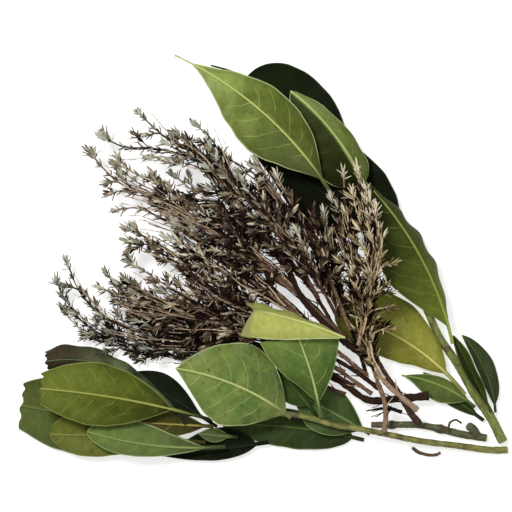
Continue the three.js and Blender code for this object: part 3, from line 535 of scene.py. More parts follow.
def bay_blade_material(name, colours, spots, roughness, base, left, settings):
    """Bay leaf: leathery and satin, with a pale raised midrib, arched side veins and a thin pale rim.

    The blade attribute holds millimetres across the midrib, along it, and to the margin. Rib counts the
    side veins, reach goes from 0 at the foot of the stalk to 1 at the tip, and underside is 1 below.
    """
    blade, patch, tip, vein, rim = map(shade, colours.split())
    material, tree = new_material(name)
    place = add(tree, ATTRIBUTE, {"attribute_name": "blade"}, out="Vector")
    across, along, edge = add(tree, "ShaderNodeSeparateXYZ", inputs={0: place}).node.outputs
    rib, reach, under = (add(tree, ATTRIBUTE, {"attribute_name": key}, out="Fac")
        for key in ("rib", "reach", "underside"))
    flat = add(tree, "ShaderNodeCombineXYZ",
        inputs={0: across, 1: along, 2: 11.0 * own_number(name, 97)})

    # Broad patches 12 mm across and small clouding of 2.5 mm, where the blade has aged unevenly; on the
    # curled leaf the lighter patch colour is painted sheen.
    patches = add(tree, NOISE, inputs={"Vector": flat, "Scale": 1 / 12, "Detail": 4, "Roughness": 0.6})
    clouds = add(tree, NOISE, inputs={"Vector": flat, "Scale": 1 / 2.5, "Detail": 3})
    patch_share = add(tree, SPAN, SMOOTH, {0: patches, 1: 0.35, 2: 0.65})
    uneven = add(tree, MATH, TIMES_PLUS, {0: patches, 1: 0.5, 2: reach})
    tip_share = add(tree, SPAN, SMOOTH, {0: uneven, 1: 0.7, 2: 1.2})
    colour = add(tree, MIX, COLOURS, {0: patch_share, 6: blade, 7: patch}, 2)
    colour = add(tree, MIX, COLOURS, {0: tip_share, 6: colour, 7: tip}, 2)

    # Lighter and darker with the clouds, painted shade towards the base, which is painted light where the
    # base value is over 1, and darker in the 6 mm by the margin.
    light = add(tree, SPAN, inputs={0: clouds, 1: 0.3, 2: 0.7, 3: 0.87, 4: 1.13})
    painted_base_shading = add(tree, SPAN, SMOOTH, {0: reach, 1: 0.05, 2: 0.6, 3: base, 4: 1.0})
    margin_light = add(tree, SPAN, SMOOTH, {0: edge, 1: 0.5, 2: 6.0, 3: 0.82, 4: 1.0})
    for more in (painted_base_shading, margin_light):
        light = add(tree, MATH, TIMES, {0: light, 1: more})
    colour = add(tree, VECTOR_MATH, SCALED, {0: colour, 3: light})

    # Dried brown spots of 1 to 4 mm, more of them and darker the more the leaf is spotted.
    specks = add(tree, NOISE, inputs={"Vector": flat, "Scale": 0.42, "Detail": 3, "Roughness": 0.65})
    speck_share = add(tree, SPAN, SMOOTH,
        {0: specks, 1: 0.66 - 0.1 * spots, 2: 0.74 - 0.08 * spots, 4: spots * 0.9})
    colour = add(tree, MIX, COLOURS, {0: speck_share, 6: colour, 7: tuple(settings.spot_colour)}, 2)

    # Side veins, half a space apart on the two halves, that fade out before the margin.
    gap = settings.vein_spacing / MM
    left_half = add(tree, MATH, {"operation": "GREATER_THAN"}, {0: across, 1: 0.0})
    stray = add(tree, NOISE, inputs={"Vector": flat, "Scale": 1 / 9, "Detail": 1})
    order = rib
    for shift in (left_half, stray):
        order = add(tree, MATH, TIMES_PLUS, {0: shift, 1: 0.5, 2: order})
    share = add(tree, MATH, {"operation": "FRACT"}, {0: order})
    share = add(tree, MATH, {"operation": "SUBTRACT"}, {0: share, 1: 0.5})
    share = add(tree, MATH, POSITIVE, {0: share})
    side = add(tree, SPAN, SMOOTH, {0: share, 1: 0.1 / gap, 2: 0.5 / gap, 3: 1.0, 4: 0.0})
    inside = add(tree, SPAN, SMOOTH, {0: edge, 1: 0.8, 2: 3.5})
    side = add(tree, MATH, TIMES, {0: side, 1: inside})

    # The fine net between them, with meshes of 1.4 mm, which is twice the real size, so that it shows.
    cells = add(tree, CELLS, {"feature": "DISTANCE_TO_EDGE"}, {"Vector": flat, "Scale": 0.7})
    net = add(tree, SPAN, SMOOTH, {0: cells, 1: 0.02, 2: 0.16, 3: 1.0, 4: 0.0})
    net_share = add(tree, MATH, TIMES, {0: net, 1: 0.05})
    seen = add(tree, SPAN, SMOOTH, {0: stray, 1: 0.35, 2: 0.65, 3: 0.06, 4: 0.32})
    faint = add(tree, MATH, TIMES, {0: side, 1: seen})
    veins = add(tree, MATH, LARGER, {0: net_share, 1: faint})
    colour = add(tree, MIX, COLOURS, {0: veins, 6: colour, 7: vein}, 2)

    # Painted shade on the left half of a leaf that is folded or turned down, and painted light where the
    # left value is over 1.
    painted_left_shading = add(tree, SPAN, SMOOTH, {0: across, 1: 0.0, 2: 1.2, 3: 1.0, 4: left})
    colour = add(tree, VECTOR_MATH, SCALED, {0: colour, 3: painted_left_shading})

    # The midrib narrows from 1 mm at the base to 0.4 mm at the tip. The stalk has its colour all over,
    # with painted shading at its foot that scales with the base's.
    half_rib = add(tree, SPAN, inputs={0: reach, 1: 0.0, 2: 1.0, 3: 0.54, 4: 0.2})
    off_rib = add(tree, MATH, POSITIVE, {0: across})
    off_rib = add(tree, MATH, {"operation": "DIVIDE"}, {0: off_rib, 1: half_rib})
    midrib = add(tree, SPAN, SMOOTH, {0: off_rib, 1: 0.65, 2: 1.15, 3: 1.0, 4: 0.0})
    on_stalk = add(tree, SPAN, SMOOTH, {0: reach, 1: 0.07, 2: 0.12, 3: 1.0, 4: 0.0})
    midrib = add(tree, MATH, LARGER, {0: midrib, 1: on_stalk})
    rib_share = add(tree, MATH, TIMES, {0: midrib, 1: 0.88})
    painted_stalk_shading = add(tree, SPAN, SMOOTH, {0: reach, 1: 0.04, 2: 0.28, 3: 0.45 * base, 4: 1.0})
    rib_colour = add(tree, VECTOR_MATH, SCALED, {0: vein, 3: painted_stalk_shading})
    colour = add(tree, MIX, COLOURS, {0: rib_share, 6: colour, 7: rib_colour}, 2)

    # A thin rim, 0.4 mm wide, where light comes through the margin; the stalk has none.
    rim_share = add(tree, SPAN, SMOOTH, {0: edge, 1: 0.2, 2: 0.6, 3: 0.75, 4: 0.0})
    on_blade = add(tree, SPAN, SMOOTH, {0: reach, 1: 0.12, 2: 0.25})
    rim_share = add(tree, MATH, TIMES, {0: rim_share, 1: on_blade})
    colour = add(tree, MIX, COLOURS, {0: rim_share, 6: colour, 7: rim}, 2)

    # The underside is paler and duller.
    pale = add(tree, MIX, COLOURS, {0: 0.35, 6: colour, 7: rim}, 2)
    colour = add(tree, MIX, COLOURS, {0: under, 6: colour, 7: pale}, 2)
    dull = add(tree, MATH, TIMES_PLUS, {0: clouds, 1: 0.2, 2: roughness - 0.1})
    dull = add(tree, MATH, TIMES_PLUS, {0: under, 1: 0.2, 2: dull})

    # The clouds, the net and the side veins stand out by about a tenth of a millimetre, and a rougher
    # leaf has less of the waxy shine.
    height = add(tree, MATH, TIMES_PLUS, {0: net, 1: 0.25, 2: clouds})
    height = add(tree, MATH, TIMES_PLUS, {0: side, 1: 0.8, 2: height})
    bump = add(tree, BUMP, inputs={"Strength": 0.35, "Distance": 0.15 * MM, "Height": height})
    shine = max(0.06, 0.4 - 2 * (roughness - 0.4))
    surface = add(tree, PRINCIPLED, inputs={"Base Color": colour, "Roughness": dull, "Normal": bump,
        "Specular IOR Level": shine})
    add(tree, OUTPUT, inputs={"Surface": surface})
    return material


def half_across(half, v):
    """Offset, rise and slope at share v of a half that starts at a slope and curls on."""
    slope, curl = math.radians(half[0]), math.radians(half[1])
    share = half[2] if len(half) > 2 else 1
    if curl == 0:
        return share * v * math.cos(slope), share * v * math.sin(slope), np.full_like(v, slope)
    out = share * (np.sin(slope + curl * v) - math.sin(slope)) / curl
    rise = share * (math.cos(slope) - np.cos(slope + curl * v)) / curl
    return out, rise, slope + curl * v


def midrib_path(leaf, total, steps=400):
    """Places, in millimetres, at even steps along the midrib, and a function for its directions."""
    def aim(t):
        heading = np.radians(leaf["heading"] + leaf["bend"] * t)
        slope = np.radians(lerp(leaf["rise"], leaf["fall"], t))
        along = np.stack((np.cos(heading) * np.cos(slope), np.sin(heading) * np.cos(slope),
            np.sin(slope)), -1)
        left = np.stack((-np.sin(heading), np.cos(heading), np.zeros_like(heading)), -1)
        return along, left
    strides = aim((np.arange(steps) + 0.5) / steps)[0] * total / steps
    places = np.vstack((np.zeros(3), np.cumsum(strides, 0))) + np.array(leaf["base"])
    return places, aim


def leaf_grid(name, leaf, total, face):
    """A grid for the leaf, with each point's share across, -1 (right) to 1 (left), and along it."""
    columns = 2 * max(5, math.ceil(leaf["width"] / 2 / face))
    start_clean()
    bpy.ops.mesh.primitive_grid_add(x_subdivisions=columns, y_subdivisions=math.ceil(total / face),
        size=2)
    piece = name_piece(bpy.context.object, name)
    grid = points_of(piece)
    # Columns stand closer together beside the midrib.
    v = np.sign(grid[:, 0]) * np.abs(grid[:, 0]) ** 1.35
    s = (grid[:, 1] + 1) / 2
    s = s * (1 - leaf["slant"] * (1 - v) / 2)
    if leaf["cut"] < 1:
        s = s * (1 - TORN_DEPTH * (1 + wander(np.stack((6 * v, 0 * v, 0 * v), -1), 2, 5)))
    if leaf["start"] > 0:
        s = s + NOTCH_DEPTH * (1 - s) ** 6 * (1 - np.abs(v)) ** 1.5
    return piece, v, s


def half_widths(leaf, v, along, on_blade, seed):
    """Half the leaf's width at each point, and the least it can be, which is that of the stalk."""
    q = leaf["start"] + on_blade * (leaf["cut"] - leaf["start"])
    skew = math.log(0.5) / math.log(leaf["widest"])
    body = np.minimum(1, q / (1 - leaf["point"]))
    full = np.maximum(0, np.sin(np.pi * body ** skew)) ** leaf["fullness"]
    ragged = wander(np.stack((along, np.sign(v) * 9, 0 * v), -1), 7, seed)
    least = lerp(STALK_WIDTH, TIP_WIDTH, on_blade) / 2
    return np.maximum(least, leaf["width"] / 2 * full * (1 + RAGGED_SHARE * ragged)), least


def blade_surface(leaf, total, v, s, half_width):
    """Each point's place on the leaf's bent, cupped or folded surface, and the normal there."""
    places, aim = midrib_path(leaf, total)
    steps = np.linspace(0, 1, len(places))
    middle = np.stack([np.interp(s, steps, places[:, axis]) for axis in range(3)], -1)
    ahead, left = aim(s)
    up = np.cross(ahead, left)
    side = np.sign(v)
    out, rise, slope = (np.where(v < 0, a, b) for a, b in zip(half_across(leaf["right"], np.abs(v)),
        half_across(leaf["left"], np.abs(v))))
    middle += left * (side * out * half_width)[:, None] + up * (rise * half_width)[:, None]
    normal = up * np.where(side == 0, 1, np.cos(slope))[:, None]
    normal -= left * (side * np.sin(slope))[:, None]
    return middle, normal


def vein_count(along, reach, gap, seed):
    """How many side veins lie before a point, where each leaves the midrib and arches to the tip."""
    uneven = 1.6 * np.sin(along / 8.5 + seed)
    return (along + uneven - VEIN_LEAN * reach - VEIN_ARCH * reach ** 2) / gap + seed * 0.37


def blade_relief(v, along, half_width, rib, on_blade, middle, settings, seed):
    """How far each point is lifted: puckered at side veins, grooved round the midrib, and rippled."""
    gap = settings.vein_spacing / MM
    reach, side = np.abs(v * half_width), np.sign(v)
    order = rib + 0.5 * (v > 0)
    to_vein = np.abs(order - np.floor(order) - 0.5) * gap
    blade = ease(on_blade, 0.02, 0.12)
    inner = ease(half_width - reach, 0.3, 3) * ease(reach, 0.3, 1.6)
    lift = -settings.pucker / MM * np.exp(-(to_vein / PUCKER_WIDTH) ** 2) * inner * blade
    for height, width in RIB_RELIEF:
        lift += height * np.exp(-(reach / width) ** 2) * blade
    wave = np.sin(2 * np.pi * along / (15 + seed % 6) + seed + side * 1.3)
    wave *= 0.8 + 0.8 * wander(np.stack((along, side * 31, 0 * v), -1), 24, seed + 4)
    lift += settings.ripple / MM * wave * np.abs(v) ** 2.5 * blade * np.minimum(1, half_width / 8)
    return lift + 0.45 * wander(middle, 14, seed) * blade


def thicken(piece, thickness, normal):
    """Gives the sheet its thickness, in millimetres at each point, and marks its underside."""
    count = len(thickness)
    group = piece.vertex_groups.new(name="thickness")
    for index, weight in enumerate(thickness / STALK_THICKNESS):
        group.add((index,), weight, "REPLACE")
    take(piece)
    solid = piece.modifiers.new("thickness", "SOLIDIFY")
    solid.thickness = STALK_THICKNESS * MM
    solid.offset = 0
    solid.vertex_group = "thickness"
    bpy.ops.object.modifier_apply(modifier=solid.name)
    piece.vertex_groups.clear()
    points = points_of(piece)
    first_is_upper = ((points[:count] - points[count:2 * count]) * normal).sum() > 0
    underside = np.zeros(len(points))
    underside[slice(count, 2 * count) if first_is_upper else slice(0, count)] = 1
    write_value(piece, "underside", underside)


def bay_leaf(name, shape, settings):
    """One leaf: a grid laid over the leaf's own surface, then thickened."""
    leaf = {**LEAF_DEFAULTS, **shape}
    total = leaf["stalk"] + leaf["length"]
    seed = own_number(name, 89)
    piece, v, s = leaf_grid(name, leaf, total, settings.face_size / MM)
    stalk_share = leaf["stalk"] / total
    on_blade = np.maximum(0, s - stalk_share) / (1 - stalk_share)
    along = s * total - leaf["stalk"]
    half_width, least = half_widths(leaf, v, along, on_blade, seed)
    across = v * half_width
    reach = np.abs(across)
    rib = vein_count(along, reach, settings.vein_spacing / MM, seed)
    middle, normal = blade_surface(leaf, total, v, s, half_width)
    lift = blade_relief(v, along, half_width, rib, on_blade, middle, settings, seed)
    place_points(piece, to_bunch(middle + normal * lift[:, None]))
    write_vector(piece, "blade", np.stack((across, along, half_width - reach), -1))
    write_value(piece, "rib", rib)
    write_value(piece, "reach", s)

    # The stalk is round, the midrib thick and the blade thin.
    spine = lerp(STALK_THICKNESS, MIDRIB_THICKNESS, np.minimum(1, on_blade * 3))
    round_stalk = spine * np.sqrt(np.maximum(0.1, 1 - v ** 2))
    blade = BLADE_THICKNESS + (spine - BLADE_THICKNESS) * np.exp(-(reach / 0.8) ** 2)
    off_stalk = np.clip((half_width - least) / STALK_WIDTH, 0, 1)
    thicken(piece, lerp(round_stalk, blade, off_stalk), normal)
    bpy.ops.object.shade_smooth_by_angle(angle=math.radians(60))
    return piece


class BOUQUET_OT_bay_leaves(bpy.types.Operator):
    """Lays every bay leaf over its solid, with its veins, ripples and rims."""
    bl_idname = "bouquet.bay_leaves"
    bl_label = "Bay leaves"

    def execute(self, context):
        settings = context.scene.bouquet_bay
        for name, shape in {**UPPER_LEAVES, **LOWER_LEAVES}.items():
            slot, *look = LEAF_LOOKS[name]
            piece = bay_leaf("fine_" + name, shape, settings)
            material = bay_blade_material("Bay leaf, " + name, *look, settings)
            finish_piece(piece, name, material, LEAF_STRAY)
        return {"FINISHED"}


# ---- Stems ----

def smooth_route(route, step):
    """Evenly spaced points along the centripetal Catmull-Rom curve through the route."""
    p = np.array(route, float)
    p = np.vstack((2 * p[0] - p[1], p, 2 * p[-1] - p[-2]))
    t = np.linspace(0, 1, 24, endpoint=False)[:, None]
    pieces = []
    for a, b, c, d in zip(p, p[1:], p[2:], p[3:]):
        one, two, three = (math.sqrt(np.linalg.norm(v)) for v in (b - a, c - b, d - c))
        leave = ((b - a) / one - (c - a) / (one + two) + (c - b) / two) * two
        arrive = ((c - b) / two - (d - b) / (two + three) + (d - c) / three) * two
        bend = 3 * (c - b) - 2 * leave - arrive
        pieces.append(b + leave * t + bend * t ** 2 + (2 * (b - c) + leave + arrive) * t ** 3)
    return even_points(np.vstack((*pieces, p[-2])), step)


def even_points(path, step):
    """The same path with points a step apart."""
    lengths = np.concatenate(((0,), np.cumsum(np.linalg.norm(np.diff(path, axis=0), axis=1))))
    count = max(3, round(lengths[-1] / step))
    at = np.linspace(0, lengths[-1], count + 1)
    return np.stack([np.interp(at, lengths, path[:, axis]) for axis in range(3)], -1)


def strands(name, parts, sides):
    """One object of closed round strands, each given as its points and radii in millimetres."""
    start_clean()
    curve = bpy.data.curves.new(name, "CURVE")
    curve.dimensions = "3D"
    curve.bevel_depth = MM
    # A round bevel has 4 sides and 2 more for each step of its resolution.
    curve.bevel_resolution = sides // 2 - 2
    for points, radii in parts:
        spline = curve.splines.new("POLY")
        spline.points.add(len(points) - 1)
        places = np.column_stack((to_bunch(points), np.ones(len(points))))
        spline.points.foreach_set("co", places.ravel())
        spline.points.foreach_set("radius", np.ascontiguousarray(radii, float))
    piece = bpy.data.objects.new(name, curve)
    bpy.context.scene.collection.objects.link(piece)
    take(piece)
    bpy.ops.object.convert(target="MESH")
    bpy.ops.object.mode_set(mode="EDIT")
    bpy.ops.mesh.select_all(action="SELECT")
    bpy.ops.mesh.fill_holes(sides=0)
    bpy.ops.mesh.normals_make_consistent(inside=False)
    bpy.ops.object.mode_set(mode="OBJECT")
    return name_piece(bpy.context.object, name)


def bark_material(name, bark, second, brown):
    """Young bay bark: green to olive, streaked lengthwise, with pores, and brown in patches and at nodes.

    The bark attribute holds the place round the stem, in millimetres, and the place along it. The cut
    end shows pale wood.
    """
    material, tree = new_material(name)
    place = add(tree, ATTRIBUTE, {"attribute_name": "bark"}, out="Vector")
    cut, swell = (add(tree, ATTRIBUTE, {"attribute_name": key}, out="Fac")
        for key in ("cut_end", "swell"))
    # Streaks are six times longer than they are wide.
    drawn = add(tree, "ShaderNodeMapping", inputs={"Vector": place, "Scale": (1, 1, 1 / 6)})
    streaks = add(tree, NOISE, inputs={"Vector": drawn, "Scale": 1.4, "Detail": 4, "Roughness": 0.65})
    patches = add(tree, NOISE, inputs={"Vector": place, "Scale": 0.16, "Detail": 3})
    pores = add(tree, CELLS, inputs={"Vector": drawn, "Scale": 0.9})
    streak_share = add(tree, SPAN, SMOOTH, {0: streaks, 1: 0.38, 2: 0.62})
    brown_share = add(tree, SPAN, SMOOTH, {0: patches, 1: 0.56 - 0.26 * brown, 2: 0.66, 4: 0.85})
    pore_share = add(tree, SPAN, SMOOTH, {0: pores, 1: 0.08, 2: 0.2, 3: 0.5, 4: 0.0})
    colour = shade(bark)
    for share, over in ((streak_share, second), (brown_share, PATCH_BROWN), (swell, NODE_BROWN),
            (pore_share, PORE_TAN), (cut, CUT_WOOD)):
        colour = add(tree, MIX, COLOURS, {0: share, 6: colour, 7: shade(over)}, 2)
    bump = add(tree, BUMP, inputs={"Strength": 0.6, "Distance": 0.25 * MM, "Height": streaks})
    surface = add(tree, PRINCIPLED, inputs={"Base Color": colour, "Roughness": 0.55, "Normal": bump})
    add(tree, OUTPUT, inputs={"Surface": surface})
    return material


def near_nodes(points, nodes, width):
    """For each node, how near each point is to it: 1 at the node, and fading out over width."""
    return [np.exp(-(np.linalg.norm(points - np.array(node), axis=1) / width) ** 2) for node in nodes]


def stem_radii(points, ends, nodes, seed):
    """Radii along a stem: tapering, uneven and swollen at its nodes, with its ends worn round."""
    share = np.linspace(0, 1, len(points))
    step = np.linalg.norm(points[1] - points[0])
    radii = lerp(ends[0], ends[1], share) * (1 + 0.05 * wander(points, 9, seed))
    for near in near_nodes(points, nodes, 1.9):
        radii *= 1 + NODE_SWELLING * near
    from_end = np.minimum(share, 1 - share) * (len(points) - 1) * step
    return radii * lerp(0.86, 1, ease(from_end, 0, 0.8))


def write_bark(piece, parts, nodes, sides):
    """Keeps the place round and along each strand, its cut end and how near its nodes are."""
    places, cuts, swells = [], [], []
    for points, radii in parts:
        steps = np.linalg.norm(np.diff(points, axis=0), axis=1)
        along = np.repeat(np.concatenate(((0,), np.cumsum(steps))), sides)
        turn = np.tile(2 * np.pi * np.arange(sides) / sides, len(points))
        radius = np.repeat(radii, sides)
        places.append(np.stack((radius * np.cos(turn), radius * np.sin(turn), along), -1))
        cuts.append(np.arange(len(along)) < sides)
        swell = 0.75 * np.max([np.zeros(len(points)), *near_nodes(points, nodes, 1.6)], axis=0)
        swells.append(np.repeat(swell, sides))
    write_vector(piece, "bark", np.vstack(places))
    write_value(piece, "cut_end", np.concatenate(cuts))
    write_value(piece, "swell", np.concatenate(swells))


def roughen(piece, parts, sides, depth, size, seed):
    """Pushes a strand's surface in and out by up to depth, in swells about size across."""
    middles = to_bunch(np.vstack([np.repeat(points, sides, 0) for points, _ in parts]))
    points = points_of(piece)
    outward = points - middles
    length = np.maximum(np.linalg.norm(outward, axis=1, keepdims=True), 1e-7)
    lift = depth * MM * wander(points / MM, size, seed)
    place_points(piece, points + outward / length * lift[:, None])


def bay_stem(node, routes, nodes, sides=STEM_SIDES, step=STEM_STEP):
    """One stem, or a stem and its stub, as round strands with nodes and an uneven surface."""
    seed = own_number(node, 71)
    parts = []
    for route, ends in routes:
        points = smooth_route(route, step)
        parts.append((points, stem_radii(points, ends, nodes, seed)))
    piece = strands("fine_" + node, parts, sides)
    write_bark(piece, parts, nodes, sides)
    roughen(piece, parts, sides, 0.2, 1.3, seed)
    take(piece)
    bpy.ops.object.shade_smooth_by_angle(angle=math.radians(50))
    return piece


class BOUQUET_OT_stems(bpy.types.Operator):
    """Builds the three bay stems and the two dried stalks."""
    bl_idname = "bouquet.stems"
    bl_label = "Bay stems"

    def execute(self, context):
        upper = [leaf["base"] for leaf in UPPER_LEAVES.values()]
        lower = [leaf["base"] for leaf in LOWER_LEAVES.values()]
        made = {
            "upper_stem": bay_stem("upper_stem", [(UPPER_STEM_ROUTE, UPPER_STEM_RADII)], upper),
            "lower_stem": bay_stem("lower_stem", [(LOWER_STEM_ROUTE, LOWER_STEM_RADII)], lower),
            "bare_stem": bay_stem("bare_stem", [(BARE_STEM_ROUTE, BARE_STEM_RADII),
                (BARE_STEM_STUB, STUB_RADII)], [BARE_STEM_ROUTE[2], BARE_STEM_ROUTE[4]]),
            "dry_curl": bay_stem("dry_curl", [(DRY_CURL_ROUTE, DRY_CURL_RADII)], [], DRY_SIDES,
                DRY_STEP),
            "dry_stalk": bay_stem("dry_stalk", [(DRY_STALK_ROUTE, DRY_STALK_RADII)], [], DRY_SIDES,
                DRY_STEP),
        }
        for node, piece in made.items():
            slot, *look = STEM_LOOKS[node]
            finish_piece(piece, node, bark_material("Bay bark, " + node, *look), STEM_STRAY)
        return {"FINISHED"}


# ---- Thyme ----

def thyme_material():
    """Dried thyme: dull rolled leaves from near-black through tan to grey-green, on woody stems.

    Each leaf and twig has its own tone, from 0 (dark) to 1 (light), which also holds painted shade deep
    in the bunch, and its own hue, from -1 (straw) through 0 (tan) to 1 (grey-green); wood is 1 on the
    stems.
    """
    material, tree = new_material("Dried thyme")
    tone, hue, wood = (add(tree, ATTRIBUTE, {"attribute_name": key}, out="Fac")
        for key in ("tone", "hue", "wood"))
    place = add(tree, "ShaderNodeTexCoord", out="Object")
    # Mottling 1.5 mm across, finer than a leaf is long, and wood fibre of 0.4 mm.
    mottle = add(tree, NOISE,
        inputs={"Vector": place, "Scale": 1 / (1.5 * MM), "Detail": 3, "Roughness": 0.6})
    fibre = add(tree, NOISE, inputs={"Vector": place, "Scale": 1 / (0.4 * MM), "Detail": 2})
    shift = add(tree, SPAN, inputs={0: mottle, 1: 0.3, 2: 0.7, 3: -0.1, 4: 0.1})
    own = add(tree, MATH, {"operation": "ADD", "use_clamp": True}, {0: tone, 1: shift})
    tones = {}
    for name, stops in THYME_TONES.items():
        tones[name] = add(tree, "ShaderNodeValToRGB", inputs={0: own})
        band = tones[name].node.color_ramp.elements
        for index, (at, code) in enumerate(stops):
            stop = band[index] if index < 2 else band.new(at)
            stop.position = at
            stop.color = (*shade(code), 1)
    to_green = add(tree, MATH, LARGER, {0: hue, 1: 0.0})
    to_straw = add(tree, MATH, {"operation": "MULTIPLY", "use_clamp": True}, {0: hue, 1: -1.0})
    leaf = add(tree, MIX, COLOURS, {0: to_green, 6: tones["tan"], 7: tones["green"]}, 2)
    leaf = add(tree, MIX, COLOURS, {0: to_straw, 6: leaf, 7: tones["straw"]}, 2)
    stem = add(tree, MIX, COLOURS, {0: to_straw, 6: tones["wood"], 7: tones["straw"]}, 2)
    colour = add(tree, MIX, COLOURS, {0: wood, 6: leaf, 7: stem}, 2)
    bump = add(tree, BUMP, inputs={"Strength": 0.5, "Distance": 0.15 * MM, "Height": fibre})
    surface = add(tree, PRINCIPLED, inputs={"Base Color": colour, "Roughness": 0.85, "Normal": bump,
        "Specular IOR Level": 0.15})
    add(tree, OUTPUT, inputs={"Surface": surface})
    return material


def thyme_leaf_shape():
    """One dry thyme leaf, modelled once: 1 long from 0 along X and about 1 wide, with rolled margins."""
    start_clean()
    bpy.ops.mesh.primitive_uv_sphere_add(segments=4, ring_count=4, radius=0.5,
        rotation=(0, math.pi / 2, 0))
    bpy.ops.object.transform_apply(rotation=True)
    master = bpy.context.object
    points = points_of(master)
    points[:, 0] += 0.5
    # Widest a little before the middle, drawn out to a blunt tip, margins rolled down.
    points[:, 1] *= 1.25 - 0.5 * points[:, 0]
    points[:, 2] -= 1.1 * points[:, 1] ** 2
    faces = [tuple(face.vertices) for face in master.data.polygons]
    bpy.data.objects.remove(master)
    return points, faces


def unit(vector):
    return vector / max(np.linalg.norm(vector), 1e-9)


def place_on(points, share):
    """A point at a share of the way along a strand and the direction there."""
    at = share * (len(points) - 1)
    low = min(int(at), len(points) - 2)
    return lerp(points[low], points[low + 1], at - low), unit(points[low + 1] - points[low])


def leftwards(ahead):
    """The level direction to the left of a twig that runs ahead."""
    return unit(np.cross(UP, ahead))


class Foliage:
    """Gathers the strands and the leaves of one sprig."""

    def __init__(self, look, index, settings):
        self.bare, self.wood, self.tone, self.branches, self.spread, self.hue = look
        self.index = index
        self.random = random.Random(settings.seed * 100 + index)
        self.length = settings.leaf_length / MM
        self.gap = settings.tuft_spacing / MM
        self.twig = settings.twig_length / MM
        # Straw-coloured sprigs have narrower leaves.
        self.broad = 1 + 0.5 * min(0, self.hue)
        self.strands, self.leaves = [], []

    def strand(self, points, radii, tone, hue=0.0):
        """Keeps a strand, lifted where it would sink into the worktop, and returns its points."""
        points = np.array(points)
        points[:, 2] = np.maximum(points[:, 2], STRAND_LOW)
        self.strands.append(Strand(points, np.broadcast_to(radii, len(points)), tone, hue))
        return points

    def leaf(self, base, ahead, lean, turn, length, tone, hue, broad):
        """A leaf at base that leans from the direction ahead, turned round it."""
        # Aslant, because no twig runs that way.
        side = unit(np.cross(ahead, (0.13, 0.21, 1)))
        top = np.cross(side, ahead)
        outward = side * math.cos(turn) + top * math.sin(turn)
        along = unit(ahead * math.cos(lean) + outward * math.sin(lean))
        # A leaf whose tip would sink into the worktop points up instead.
        if base[2] + along[2] * length < TIP_LOW:
            along = unit(np.array((along[0], along[1], abs(along[2]) * 0.4 + 0.05)))
        face = ahead * math.sin(lean) - outward * math.cos(lean)
        face = unit(face - along * (face @ along))
        self.leaves.append(ThymeLeaf(base, along, face, length, min(1, max(0, tone)), hue,
            self.random.uniform(-0.25, 0.3), broad * self.random.uniform(0.75, 1.2)))

    def tuft(self, base, ahead, count, lean, size, tone, hue, broad=1.0, spread=1.0):
        """A whorl of needle-like leaves round one place on a twig."""
        rng = self.random
        turn = rng.uniform(0, FULL_TURN)
        for index in range(count):
            own = tone + rng.choice(LEAF_TONES) * spread + rng.gauss(0, 0.06)
            self.leaf(base + ahead * rng.uniform(-0.6, 0.6), ahead,
                math.radians(lean * rng.uniform(0.4, 1.5)), turn + index * LEAF_TURN,
                size * rng.uniform(0.6, 1.15), own, hue + rng.gauss(0, 0.15), broad)

    def dress(self, points, start, tone, hue):
        """Tufts and short leafy twigs along a strand, from a share of its length to its tip."""
        rng = self.random
        total = np.linalg.norm(np.diff(points, axis=0), axis=1).sum()
        place, side = start, rng.choice((-1, 1))
        while place < 1 - 3 / total:
            base, ahead = place_on(points, place)
            # Towards the tip tufts have more leaves, shorter and broader, lighter and closer in tone.
            fade = (place - start) / max(1e-3, 1 - start)
            here = hue + 0.9 * max(0, fade - 0.45)
            light = tone + lerp(-0.2, 0.3, fade)
            self.tuft(base, ahead, rng.choice((0, 1, 1)) + round(5 * fade), lerp(32, 42, fade),
                self.length * lerp(1.0, 0.75, fade), light, here, lerp(0.6, 1.15, fade) * self.broad,
                lerp(1.1, 0.65, fade))
            if rng.random() < TWIG_CHANCE:
                side = -side
                lean, tilt = math.radians(rng.uniform(12, 42)), math.radians(rng.uniform(-20, 35))
                outward = leftwards(ahead) * side * math.cos(tilt) + UP * math.sin(tilt)
                way = unit(ahead * math.cos(lean) + outward * math.sin(lean))
                self.twig_at(base, way, self.twig * lerp(1.2, 0.5, fade) * rng.uniform(0.4, 1.4),
                    light + rng.gauss(0, 0.06), here)
            place += self.gap * lerp(0.65, 1.8, fade) * rng.uniform(0.75, 1.3) / total
        tip, ahead = place_on(points, 1.0)
        self.tip_tuft(tip, ahead, tone + 0.45, hue + 0.6)

    def tip_tuft(self, tip, ahead, tone, hue):
        """The brush of leaves at the end of a twig."""
        for back, count, lean in TIP_WHORLS:
            self.tuft(tip - ahead * back, ahead, count, lean, self.length * 0.88, tone + 0.05, hue,
                1.35 * self.broad, 0.6)

    def twig_at(self, base, ahead, length, tone, hue):
        """A short twig that bends a little, with tufts along it and a brush at its tip."""
        rng = self.random
        steps = max(3, round(length / TWIG_STEP))
        points, way = [np.array(base)], ahead
        sway = np.array((rng.uniform(-1, 1), rng.uniform(-1, 1), rng.uniform(-0.3, 0.3))) * 0.09
        for _ in range(steps):
            way = unit(way + sway)
            points.append(points[-1] + way * length / steps)
        points = self.strand(points, np.linspace(*TWIG_RADII, steps + 1),
            self.wood + rng.gauss(0.1, 0.2), min(0, hue))
        for share in np.arange(0.4, 1 - 2.5 / length, self.gap / length):
            at, way = place_on(points, share)
            self.tuft(at, way, rng.choice((1, 2, 3)), 26, self.length * 0.9, tone, hue, self.broad)
        self.tip_tuft(points[-1], unit(points[-1] - points[-2]), tone + 0.05, hue)

    def branch(self, points, first, last, offset, rise, radius, tone, seed):
        """A strand that leaves the stem at one share of its length and runs beside it to another."""
        run = points[int(first * (len(points) - 1)):int(last * (len(points) - 1)) + 1].copy()
        if len(run) < 5:
            return None
        left = np.cross(UP, np.gradient(run, axis=0))
        left /= np.linalg.norm(left, axis=1)[:, None]
        spread = np.linspace(0, 1, len(run)) ** 0.8
        run += left * (offset * spread)[:, None]
        run[:, 2] += rise * np.sin(np.linspace(0, 2.2, len(run)))
